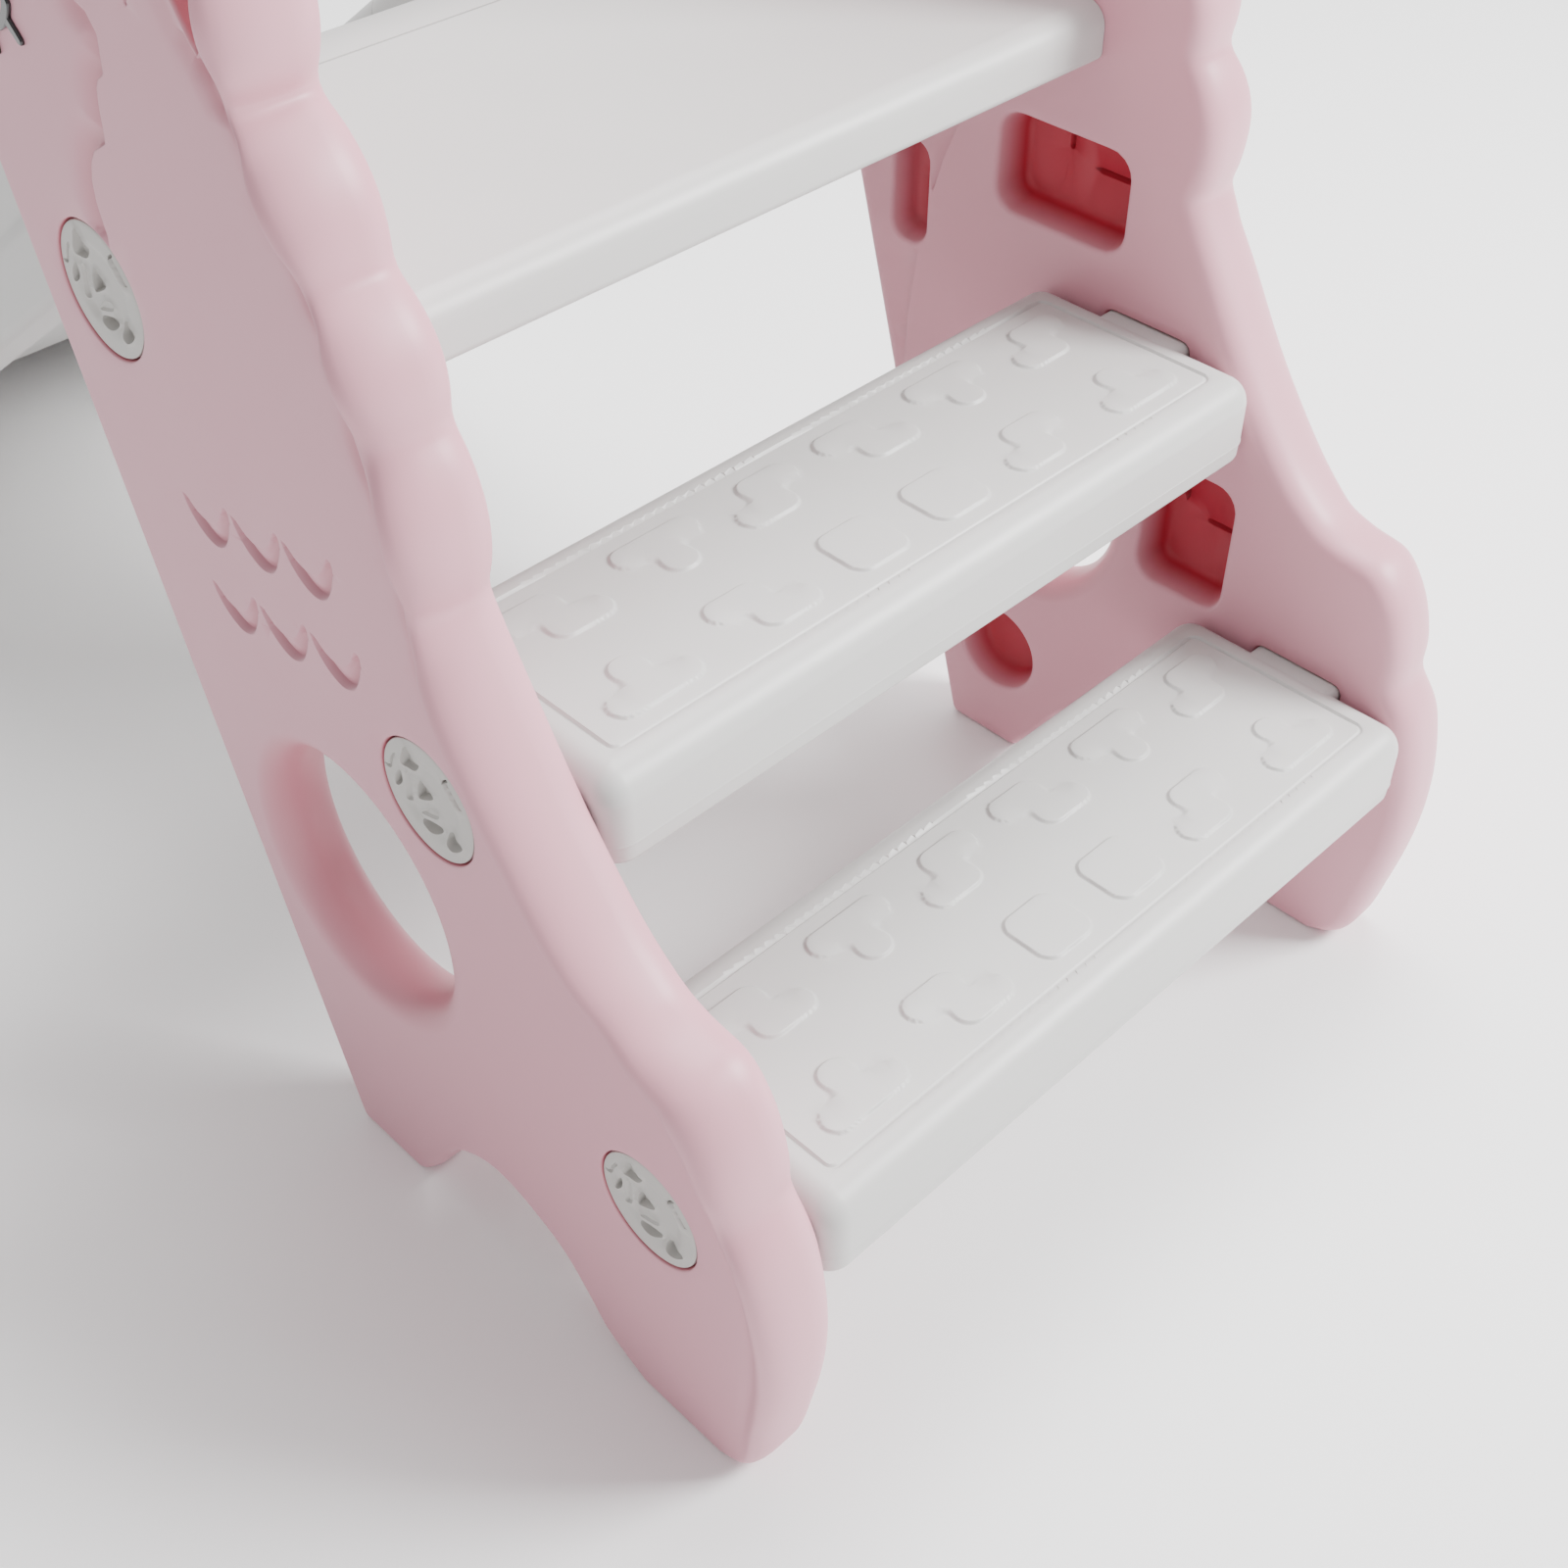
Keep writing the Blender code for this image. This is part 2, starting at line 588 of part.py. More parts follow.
def lock(name, side, y, z):
    """A quarter-turn lock: dished head, shaft and two bayonet ears, on its own axis."""
    outer = HALF_CLEAR + PANEL_THICKNESS - LOCK_SINK
    head_back = outer - LOCK_HEAD
    ear_face = HALF_CLEAR + LUG_DEPTH - LUG_WALL - 2 * SHAFT_FIT
    ear_back = ear_face - LOCK_EAR_THICKNESS + SHAFT_FIT
    made = drum(name, *across(side, head_back, outer), y, z, LOCK_RADIUS, helper=False)
    shaft = drum(name + "_shaft", *across(side, ear_back, head_back + LOCK_DISH_DEPTH + LAP), y, z,
                 LOCK_SHAFT_RADIUS, sides=20)
    ear_half = LOCK_EAR_RADIUS - 2 * FIT
    near, far = across(side, ear_back, ear_face)
    ears = block(name + "_ears", (near, y - ear_half, z - LOCK_EAR_WIDTH / 2),
                 (far, y + ear_half, z + LOCK_EAR_WIDTH / 2))
    join(made, shaft, ears)
    cut(made, drum(name + "_dish", *across(side, outer - LOCK_DISH_DEPTH, outer + OVERCUT), y, z,
                   LOCK_DISH_RADIUS, sides=28))
    for number, degrees in enumerate(PETAL_ANGLES):
        a = math.radians(degrees)
        cut(made, drum(f"{name}_petal_{number}", *across(side, outer - PETAL_DEPTH, outer + OVERCUT),
                       y + PETAL_REACH * math.cos(a), z + PETAL_REACH * math.sin(a),
                       PETAL_RADIUS, sides=16))
    peg_y, peg_z = y + PEG_REACH * math.cos(PEG_ANGLE), z + PEG_REACH * math.sin(PEG_ANGLE)
    join(made, drum(name + "_peg", *across(side, outer - 2 * LAP, outer + PEG_HEIGHT), peg_y, peg_z,
                    PEG_RADIUS, sides=10))
    dress(made, LOCK_GREY, 0.5)
    pivot = Vector((side * outer, y, z))
    made.data.transform(Matrix.Translation(-pivot))
    made.location = pivot
    for modifier in made.modifiers:
        modifier.object.data.transform(Matrix.Translation(-pivot))
        modifier.object.parent = made
        modifier.object.matrix_parent_inverse = Matrix()
    return made


def bed_line():
    """The bed's upper face in side view, from the deck to the exit, as (point, tangent angle)."""
    y, z = DECK_REAR + CHUTE_GAP / 2, DECK_HEIGHT - BED_DROP
    line = []
    for step in range(7):
        a = SLOPE * step / 6
        line.append(((y + CREST_RADIUS * math.sin(a), z - CREST_RADIUS * (1 - math.cos(a))), a))
    (y, z), _ = line[-1]
    drop = RUNOUT_RADIUS * (1 - math.cos(SLOPE))
    straight = (z - RUNOUT_HEIGHT - drop) / math.tan(SLOPE)
    y += straight
    z = RUNOUT_HEIGHT + drop
    for step in range(9):
        a = SLOPE * (1 - step / 8)
        line.append(((y + RUNOUT_RADIUS * (math.sin(SLOPE) - math.sin(a)),
                      RUNOUT_HEIGHT + RUNOUT_RADIUS * (1 - math.cos(a))), a))
    (y, z), _ = line[-1]
    line.append(((y + RUNOUT_LENGTH, z), 0.0))
    return line


def offset_line(line, distance):
    """The bed line moved square to itself: up is positive."""
    return [(y + math.sin(a) * distance, z + math.cos(a) * distance) for (y, z), a in line]


def rail_outline():
    line = bed_line()
    top = offset_line(line, RAIL_HEIGHT)
    top[0] = (top[0][0], top[0][1] - RAIL_START_DROP)
    end_y = line[-1][0][0]
    nose = arc(top[-1], (end_y, NOSE_FOOT), NOSE_BULGE, 4)
    skirt = offset_line(line, -SKIRT_DEPTH)
    clear_of_floor = [point for point in skirt if point[1] > 4 * LAP]
    start_y = line[0][0][0]
    touch = clear_of_floor[-1][0] + clear_of_floor[-1][1] / math.tan(SLOPE)
    under = [(end_y - NOSE_FOOT, 0.0), (touch, 0.0)] + clear_of_floor[::-1][:-3]
    corner_z = clear_of_floor[2][1]
    start = [(start_y + CREST_RADIUS / 4, corner_z + SKIRT_START_RISE * 2 / 3),
             (start_y, corner_z + SKIRT_START_RISE)]
    return top + nose + under + start


def seam():
    """The seam between the chute's sections, on the bed line: (point, SLOPE)."""
    (y, z), angle = bed_line()[6]
    return (y + UPPER_CHUTE * math.cos(SLOPE), z - UPPER_CHUTE * math.sin(SLOPE))


def sloped(along, up):
    """A side-view point measured from the seam, along the slope and square to it."""
    y, z = seam()
    return (y + along * math.cos(SLOPE) + up * math.sin(SLOPE),
            z - along * math.sin(SLOPE) + up * math.cos(SLOPE))


def slope_block(name, x, along, up):
    """A box lined up with the slope: its X, along and up spans are given."""
    outline = [sloped(along[0], up[0]), sloped(along[1], up[0]), sloped(along[1], up[1]),
               sloped(along[0], up[1])]
    return plate(name, outline, *x, helper=True)


def chute_section(name, upper):
    """One section: a bed between two rails, ending at the seam."""
    half_bed = HALF_CHUTE - RAIL_THICKNESS
    line = bed_line()
    bed = [point for point, _ in line] + offset_line(line, -BED_THICKNESS)[::-1]
    section = plate(name, bed, -half_bed - OVERCUT, half_bed + OVERCUT)
    for side, label in SIDES:
        rail = plate(f"{name}_{label}_rail", rail_outline(), *across(side, half_bed, HALF_CHUTE),
                     helper=True)
        round_edges(rail, RAIL_EDGE_RADIUS, 2, 50)
        join(section, rail, solver="MANIFOLD")
    beyond = 2.0
    wide = (-1.0, 1.0)
    if upper:
        away = slope_block(name + "_below_seam", wide, (0.0, beyond), wide)
    else:
        away = slope_block(name + "_above_seam", wide, (-beyond, SEAM_GAP), wide)
    cut(section, away, solver="MANIFOLD")
    for side, label in SIDES:
        seam_joint(section, f"{name}_{label}", side, upper)
    if upper:
        add_flange(section, name)
    dress(section, GREY, 0.48)
    return section


def seam_joint(section, name, side, upper):
    """The socket or the spigot of one rail, with its pin's hole and seat."""
    half_bed = HALF_CHUTE - RAIL_THICKNESS
    rail_middle = HALF_CHUTE - RAIL_THICKNESS / 2
    room = FIT if upper else 0.0
    half = SPIGOT_THICKNESS / 2 + room
    half_up = SPIGOT_HEIGHT / 2 + room
    along = (-SPIGOT_LENGTH - 2 * room, OVERCUT + (0.0 if upper else SEAM_GAP))
    bar = slope_block(name + "_spigot", across(side, rail_middle - half, rail_middle + half), along,
                      (SPIGOT_UP - half_up, SPIGOT_UP + half_up))
    if upper:
        cut(section, bar, solver="MANIFOLD")
    else:
        join(section, bar, solver="MANIFOLD")
    y, z = pin_place()
    inside = rail_middle + SPIGOT_THICKNESS / 2 + PIN_REACH + LAP
    hole = drum(name + "_pin_hole", *across(side, half_bed - OVERCUT, inside), y, z,
                PIN_RADIUS + FIT, sides=16)
    cut(section, hole, solver="MANIFOLD")
    if upper:
        seat = drum(name + "_pin_seat", *across(side, half_bed - OVERCUT, half_bed + PIN_HEAD + FIT),
                    y, z, PIN_HEAD_RADIUS + FIT, sides=20)
        cut(section, seat, solver="MANIFOLD")


def pin_place():
    return sloped(-SPIGOT_LENGTH * PIN_ALONG, PIN_UP)


def add_flange(section, name):
    """The flange under the deck, with its upturned hook and screw holes."""
    top = DECK_HEIGHT - DECK_THICKNESS - FIT
    bottom = top - FLANGE_THICKNESS
    start = DECK_REAR - FLANGE_LENGTH
    wide = HALF_CHUTE - FLANGE_INSET
    flange = block(name + "_flange", (-wide, start, bottom), (wide, DECK_REAR + 2 * OVERCUT, top))
    hook = block(name + "_hook", (-wide, start, top - 2 * LAP),
                 (wide, start + HOOK_THICKNESS, top + HOOK_HEIGHT))
    join(section, flange, hook, solver="MANIFOLD")
    for x in flange_screw_places():
        hole = screw_hole(f"{name}_screw_hole_{x:.2f}", x, bottom - OVERCUT, top + LAP)
        cut(section, hole, solver="MANIFOLD")


def seam_pin(name, side):
    """A push pin through the rail and the spigot inside it."""
    half_bed = HALF_CHUTE - RAIL_THICKNESS
    y, z = pin_place()
    tip = HALF_CHUTE - RAIL_THICKNESS / 2 + SPIGOT_THICKNESS / 2 + PIN_REACH
    made = drum(name, *across(side, half_bed, half_bed + PIN_HEAD), y, z, PIN_HEAD_RADIUS,
                sides=20, helper=False)
    join(made, drum(name + "_shank", *across(side, half_bed + LAP, tip), y, z, PIN_RADIUS, sides=16))
    dress(made, LOCK_GREY, 0.5)
    return made


def eye(name, side):
    """A closed lid with three lashes, let into the face as a black inlay."""
    y, z = beside(*EYE_PLACE)
    angles = [math.radians(200 + 14 * k) for k in range(11)]
    outer_arc = [(EYE_OUTER_RADIUS * math.cos(a), EYE_OUTER_RADIUS * math.sin(a)) for a in angles]
    inner_arc = [(EYE_INNER_RADIUS * math.cos(a), EYE_INNER_RADIUS * math.sin(a))
                 for a in reversed(angles)]
    surface = HALF_CLEAR + PANEL_THICKNESS + FIT
    span = across(side, surface, surface + EYE_THICKNESS)
    lid = plate(name, [(y + a, z + b) for a, b in outer_arc + inner_arc], *span)
    for k, angle in enumerate((225, 270, 315)):
        a = math.radians(angle)
        along, across_way = Vector((math.cos(a), math.sin(a))), Vector((-math.sin(a), math.cos(a)))
        corners = [along * LASH_START + across_way * LASH_ROOT,
                   along * LASH_END + across_way * LASH_TIP,
                   along * LASH_END - across_way * LASH_TIP,
                   along * LASH_START - across_way * LASH_ROOT]
        lash = plate(f"{name}_lash_{k}", [(y + c.x, z + c.y) for c in corners], *span, helper=True)
        join(lid, lash)
    dress(lid, BLACK, 0.2)
    return lid


def centre_over_floor():
    """Moves the whole slide along Y until the middle of its box is over the origin."""
    bpy.context.view_layer.update()
    graph = bpy.context.evaluated_depsgraph_get()
    ends = []
    for piece in parts.objects:
        if piece.type == "MESH":
            solid = piece.evaluated_get(graph)
            ends += [(solid.matrix_world @ vertex.co).y for vertex in solid.data.vertices]
    middle.location.y = -(min(ends) + max(ends)) / 2


clear_scene()
parts = collection("toddler_slide")
cutters = collection("cutters")
middle = bpy.data.objects.new("slide_middle", None)
parts.objects.link(middle)

for side, label in SIDES:
    side_panel(f"{label}_side_panel", side)
tread("lower_step", 0)
tread("upper_step", 1)
deck()
chute_section("upper_chute", True)
chute_section("lower_chute", False)
for side, label in SIDES:
    for place, y, z in lock_places():
        lock(f"{label}_{place}_lock", side, y, z)
    seam_pin(f"{label}_seam_pin", side)
    flange_screw(f"{label}_chute_screw", flange_screw_places()[0 if side < 0 else 1])
    eye(f"{label}_eye", side)
centre_over_floor()
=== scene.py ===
import math

import bmesh
import bpy
import numpy as np
from mathutils import Matrix, Vector
from mathutils.geometry import delaunay_2d_cdt


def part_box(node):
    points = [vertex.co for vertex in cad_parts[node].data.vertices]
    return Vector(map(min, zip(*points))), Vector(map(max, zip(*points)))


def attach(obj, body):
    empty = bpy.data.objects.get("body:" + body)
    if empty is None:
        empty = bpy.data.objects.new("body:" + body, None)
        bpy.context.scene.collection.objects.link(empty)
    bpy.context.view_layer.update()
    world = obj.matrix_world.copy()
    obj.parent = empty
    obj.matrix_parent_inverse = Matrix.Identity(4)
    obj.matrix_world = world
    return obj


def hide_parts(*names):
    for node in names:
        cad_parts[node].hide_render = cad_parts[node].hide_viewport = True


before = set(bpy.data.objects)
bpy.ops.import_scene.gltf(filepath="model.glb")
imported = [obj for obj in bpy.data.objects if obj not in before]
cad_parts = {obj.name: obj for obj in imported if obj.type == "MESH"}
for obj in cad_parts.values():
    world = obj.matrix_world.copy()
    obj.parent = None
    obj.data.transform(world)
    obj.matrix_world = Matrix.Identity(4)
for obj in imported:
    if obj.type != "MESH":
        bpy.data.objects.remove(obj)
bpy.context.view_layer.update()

# ---------------------------------------------------------------------------------------------
# Side panels. Each is one hollow blow-moulded polyethylene shell in dusty pink, shaped like a lamb
# seen from the side. A fat scalloped bead along its front edge stands for the wool, and its flat
# has an oval window, a grip slot, six wool marks and three round seats for the locks.

panel_thickness = 0.035
inner_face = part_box("right_side_panel")[0].x
outer_face = inner_face + panel_thickness
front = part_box("lower_step")[0].y       # side views are measured from the lower tread's front edge


def linear(hex_colour):
    """An sRGB hex colour as linear red, green, blue and an alpha of one."""
    levels = [int(hex_colour[i:i + 2], 16) / 255 for i in (1, 3, 5)]
    return [v / 12.92 if v <= 0.04045 else ((v + 0.055) / 1.055) ** 2.4 for v in levels] + [1.0]


def node(tree, kind, settings=(), links=()):
    """Adds a node; a setting is a property's name or an input's, a link is (input, socket)."""
    made = tree.nodes.new(kind)
    for name, value in dict(settings).items():
        if name in made.inputs:
            made.inputs[name].default_value = value
        else:
            setattr(made, name, value)
    for name, socket in dict(links).items():
        tree.links.new(socket, made.inputs[name])
    return made


def smoothstep(t):
    t = np.clip(t, 0.0, 1.0)
    return t * t * (3 - 2 * t)


def unit(rows):
    """Rows scaled so that their first two numbers make a direction of length one."""
    return rows / np.maximum(np.hypot(rows[:, 0], rows[:, 1]), 1e-9)[:, None]


def left_of(way):
    """Unit directions to the left of rows of directions."""
    way = unit(way)
    return np.stack([-way[:, 1], way[:, 0]], 1)


def compass(count):
    """Unit directions all round, anticlockwise."""
    turn = np.linspace(0, math.tau, count, endpoint=False)
    return np.stack([np.cos(turn), np.sin(turn)], 1)


def resampled(rows, spacing, closed=False):
    """Rows of (y, z, further values) spread evenly along the line that they follow."""
    rows = np.asarray(rows, float)
    if closed:
        rows = np.vstack([rows, rows[:1]])
    along = np.concatenate([[0], np.cumsum(np.hypot(*np.diff(rows[:, :2], axis=0).T))])
    count = max(2, round(along[-1] / spacing))
    places = np.linspace(0, along[-1], count + 1)[:-1 if closed else None]
    return np.stack([np.interp(places, along, column) for column in rows.T], 1)


def softened(loop, width, spacing):
    """A closed loop blurred along its own length, which rounds its corners by about width."""
    reach = int(3 * width / spacing)
    weights = np.exp(-0.5 * (np.arange(-reach, reach + 1) * spacing / width) ** 2)
    weights /= weights.sum()
    return sum(w * np.roll(loop, -k, axis=0) for k, w in zip(range(-reach, reach + 1), weights))


def curve_through(rows, steps):
    """A Catmull-Rom curve through rows of numbers."""
    rows = np.asarray(rows, float)
    ends = np.vstack([rows[:1], rows, rows[-1:]])
    made = [rows[0]]
    for p, q, r, s in zip(ends, ends[1:], ends[2:], ends[3:]):
        for step in range(1, steps + 1):
            t = step / steps
            made.append(0.5 * (2 * q + (r - p) * t + (2 * p - 5 * q + 4 * r - s) * t * t
                               + (3 * q - p - 3 * r + s) * t ** 3))
    return np.array(made)


def distance_to_line(points, line, closed=False):
    """Each point's distance to a line, and the sign and index of the nearest stretch."""
    line = np.asarray(line, float)[:, :2]
    starts = line if closed else line[:-1]
    ends = np.roll(line, -1, axis=0) if closed else line[1:]
    best = np.full(len(points), np.inf)
    side = np.zeros(len(points))
    nearest = np.zeros(len(points), int)
    for i, (a, b) in enumerate(zip(starts, ends)):
        way = b - a
        length = max(way @ way, 1e-18)
        t = np.clip((points - a) @ way / length, 0, 1)
        gap = points - a - t[:, None] * way
        d = np.hypot(gap[:, 0], gap[:, 1])
        closer = d < best
        best[closer] = d[closer]
        side[closer] = (way[0] * gap[:, 1] - way[1] * gap[:, 0])[closer]
        nearest[closer] = i
    return best, np.sign(side), nearest


def gap_to(points, line, closed=False):
    """Each point's distance to a line."""
    return distance_to_line(points, line, closed)[0]


def is_inside(points, loop):
    """Whether each point lies within a closed loop."""
    loop = np.asarray(loop, float)[:, :2]
    inside = np.zeros(len(points), bool)
    for a, b in zip(loop, np.roll(loop, -1, axis=0)):
        crosses = (a[1] > points[:, 1]) != (b[1] > points[:, 1])
        if crosses.any():
            at = a[0] + (points[:, 1] - a[1]) * (b[0] - a[0]) / (b[1] - a[1] if b[1] != a[1] else 1)
            inside ^= crosses & (points[:, 0] < at)
    return inside


class Shell:
    """A surface put together from rings of points, lofts between them and filled areas."""

    def __init__(self):
        self.points, self.faces, self.recess_shade = [], [], []

    def ring(self, flat, height, recess_shade=0.0):
        """Adds points at (u, v) with the given height and a weight for painted shade, and returns their
        numbers.
        """
        flat = np.asarray(flat, float)[:, :2]
        height = np.broadcast_to(height, len(flat))
        recess_shade = np.broadcast_to(recess_shade, len(flat))
        first = len(self.points)
        self.points += [(u, v, h) for (u, v), h in zip(flat, height)]
        self.recess_shade += list(recess_shade)
        return list(range(first, first + len(flat)))

    def flat(self, ring):
        """A ring's points as rows of (u, v)."""
        return np.array([self.points[n][:2] for n in ring])

    def loft(self, rings):
        """Joins each ring to the next, point to point."""
        for one, two in zip(rings, rings[1:]):
            self.faces += [(one[i - 1], one[i], two[i], two[i - 1]) for i in range(len(one))]

    def fill(self, outer, holes=(), extra=(), height=None, recess_shade=None):
        """Fills the area inside a ring and outside the holes, through the extra points."""
        rings = [outer, *holes]
        numbers = [n for ring in rings for n in ring]
        flat = [self.points[n][:2] for n in numbers]
        edges, first = [], 0
        for ring in rings:
            edges += [(first + i, first + (i + 1) % len(ring)) for i in range(len(ring))]
            first += len(ring)
        if len(extra):
            shade = recess_shade(extra) if recess_shade else 0.0
            numbers += self.ring(extra, height(extra), shade)
            flat += [tuple(p) for p in extra]
        out, _, triangles, origin, _, _ = delaunay_2d_cdt(
            [Vector(p) for p in flat], edges, [], 0, 1e-7)
        out = np.array([tuple(p) for p in out])
        corners = np.array([t for t in triangles if len(t) == 3])
        middles = out[corners].mean(axis=1)
        loops = [self.flat(ring) for ring in rings]
        keep = is_inside(middles, loops[0])
        for loop in loops[1:]:
            keep &= ~is_inside(middles, loop)
        index = {}
        for i in np.unique(corners[keep]):
            if origin[i]:
                index[i] = numbers[origin[i][0]]
            else:
                level = height(out[i:i + 1]) if height else self.points[outer[0]][2]
                index[i] = self.ring(out[i:i + 1], level)[0]
        for triangle in corners[keep]:
            self.faces.append(tuple(index[i] for i in triangle))

    def mesh(self, name, place):
        """The shell as a closed mesh; place turns (u, v, height) rows into x, y, z rows."""
        made = bpy.data.meshes.new(name)
        made.from_pydata(place(np.array(self.points)).tolist(), [], self.faces)
        # Each point's weight for painted shade, which the pink material turns into a deeper red.
        depth = made.attributes.new("recess_shade", "FLOAT", "POINT")
        depth.data.foreach_set("value", np.array(self.recess_shade, np.float32))
        shape = bmesh.new()
        shape.from_mesh(made)
        bmesh.ops.remove_doubles(shape, verts=shape.verts, dist=2e-6)
        bmesh.ops.dissolve_degenerate(shape, edges=shape.edges, dist=1e-7)
        bmesh.ops.recalc_face_normals(shape, faces=shape.faces)
        shape.to_mesh(made)
        shape.free()
        made.shade_smooth()
        return made


def linked(name, data):
    """A new object, put in the scene."""
    made = bpy.data.objects.new(name, data)
    bpy.context.scene.collection.objects.link(made)
    return made


def finish_piece(name, mesh, material, body, replaced):
    """Makes a mesh a piece of the slide that rides on a body and stands for a CAD node."""
    piece = linked(name, mesh)
    mesh.materials.clear()
    mesh.materials.append(material)
    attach(piece, body)
    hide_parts(replaced)


# The outline's rows: y, z, rim width, bead height, groove depth, and 1 where the bead runs.
plain = (0.007, 0.0, 0.0, 0.0)
leg = [(0.0300, 0.0, *plain), (0.0105, 0.010, 0.010, 0.0, 0.0, 0.6),
       (0.0005, 0.045, 0.014, 0.001, 0.0004, 1), (-0.0060, 0.085, 0.016, 0.002, 0.0006, 1),
       (-0.0060, 0.122, 0.017, 0.004, 0.0008, 1), (0.0020, 0.160, 0.017, 0.005, 0.0010, 1),
       (0.0160, 0.181, 0.016, 0.0035, 0.0012, 1)]
knee = [(0.0160, 0.181, 0.016, 0.0035, 0.0012, 1), (0.0165, 0.198, 0.020, 0.0075, 0.0014, 1),
        (0.0245, 0.224, 0.026, 0.0084, 0.0014, 1), (0.0405, 0.243, 0.026, 0.0084, 0.0014, 1),
        (0.0625, 0.247, 0.020, 0.0070, 0.0012, 1), (0.0760, 0.252, 0.017, 0.0050, 0.0012, 1)]
thigh = [(0.0760, 0.252, 0.017, 0.0050, 0.0012, 1), (0.0985, 0.272, 0.018, 0.0080, 0.0012, 1),
         (0.1285, 0.312, 0.019, 0.0084, 0.0020, 1), (0.1560, 0.358, 0.020, 0.0084, 0.0024, 1),
         (0.1740, 0.390, 0.018, 0.0030, 0.0018, 1)]
scallop_valleys = [(0.1740, 0.390), (0.1845, 0.457), (0.2075, 0.508), (0.2385, 0.561),
                   (0.2425, 0.618), (0.2500, 0.672), (0.2720, 0.722), (0.3150, 0.765),
                   (0.3720, 0.782), (0.4270, 0.762), (0.4630, 0.715)]
scallop_height = 0.0105
face_edge = [(0.4630, 0.715), (0.4860, 0.685), (0.5050, 0.638), (0.5210, 0.595),
             (0.5170, 0.555), (0.4930, 0.518), (0.4545, 0.496), (0.4335, 0.483)]
rear_foot_back = 0.2965
arch = [(0.2465, 0.0), (0.2285, 0.022), (0.2120, 0.048), (0.1785, 0.064), (0.1385, 0.051),
        (0.1180, 0.030), (0.1055, 0.014), (0.0805, 0.0)]
rim_spacing = 0.0028


def scallops():
    """The wool's bumps, each a round arc whose bead swells towards its middle."""
    rows = []
    for a, b in zip(scallop_valleys, scallop_valleys[1:]):
        start, end = np.array(a), np.array(b)
        left = left_of((end - start)[None])[0]
        for step in range(1, 13):
            t = step / 12
            swell = math.sin(math.pi * t) ** 0.75
            y, z = start + (end - start) * t + left * scallop_height * swell
            rows.append((y, z, 0.0175 + 0.0020 * swell, 0.0015 + 0.0071 * swell, 0.0028, 1))
    return rows


outline = np.array(
    [tuple(row) for row in curve_through(leg, 6)]
    + [tuple(row) for row in curve_through(knee, 6)[1:]]
    + [tuple(row) for row in curve_through(thigh, 6)[1:]]
    + scallops()
    + [(y, z, *plain) for y, z in curve_through(face_edge, 5)[2:]]
    + [(rear_foot_back, 0.0, *plain)]
    + [(y, z, *plain) for y, z in curve_through(arch, 4)])
outline = softened(resampled(outline, rim_spacing, closed=True), 0.0034, rim_spacing)
outline[:, 1] = np.where(outline[:, 1] < 0.0006, 0.0, outline[:, 1])
along_outline = np.roll(outline, -1, axis=0) - np.roll(outline, 1, axis=0)
inward = unit(softened(-left_of(along_outline), 0.004, rim_spacing))
ahead, behind = np.roll(inward, -2, axis=0), np.roll(inward, 2, axis=0)
bend = np.abs(ahead[:, 0] * behind[:, 1] - ahead[:, 1] * behind[:, 0]) / (4 * rim_spacing)
room = 0.55 / np.maximum(bend, 1e-3)
for _ in range(3):
    room = np.minimum(room, np.minimum(np.roll(room, 1), np.roll(room, -1)))
sharp = bend > 1 / 0.022
for _ in range(6):
    sharp |= np.roll(sharp, 1) | np.roll(sharp, -1)
outline[:, 2] = np.where(sharp, np.minimum(outline[:, 2], room), outline[:, 2])
outline[:, 2] = softened(outline[:, 2:3], 0.005, rim_spacing)[:, 0]

nose_height = 0.0140        # the bead's foremost line stands this far from the inner face
bead_peak = 0.58            # the bead stands proudest this far along from the nose to its groove


def rim_outer(q, row_width, bead, groove, kind):
    """The outer face's height across the rim, from the outline (q = 0) to its inner side."""
    rise = np.sqrt(np.clip(1 - (1 - np.clip(q / bead_peak, 0, 1)) ** 2, 0, 1))
    fall = 0.5 + 0.5 * math.cos(math.pi * max(0.0, (q - bead_peak) / (1 - bead_peak)))
    nose = inner_face + nose_height + 0.002
    peak, low = outer_face + bead, outer_face - groove
    beaded = nose + (peak - nose) * rise if q < bead_peak else low + (peak - low) * fall
    t = np.clip(q * row_width / 0.0035, 0, 1)
    rounded = outer_face - 0.0035 * (1 - np.sqrt(1 - (1 - t) ** 2))
    return kind * beaded + (1 - kind) * rounded


def rim_inner(q, row_width, kind):
    """The inner face's height across the rim."""
    deep = 0.005 + (nose_height - 0.005) * kind
    wide = 0.005 + 0.004 * kind
    t = np.clip(q * row_width / wide, 0, 1)
    return inner_face + deep * (1 - np.sqrt(1 - (1 - t) ** 2))


window_centre = (0.2600, 0.1945)
window_mouth = (0.0735, 0.0795)
window_throat = 0.0130      # the throat is this much smaller all round than the mouth
grip_slot = [(0.2572, 0.5755), (0.2640, 0.5850), (0.2705, 0.5960), (0.2800, 0.6150),
             (0.2885, 0.6410), (0.2925, 0.6680), (0.2910, 0.6880), (0.2835, 0.6985),
             (0.2735, 0.6930), (0.2655, 0.6720), (0.2590, 0.6400), (0.2545, 0.6120),
             (0.2525, 0.5930), (0.2532, 0.5820)]
grip_lip = 0.0016
ring_points = 72


def oval(centre, half_u, half_v, count=ring_points):
    return np.array(centre) + compass(count) * (half_u, half_v)


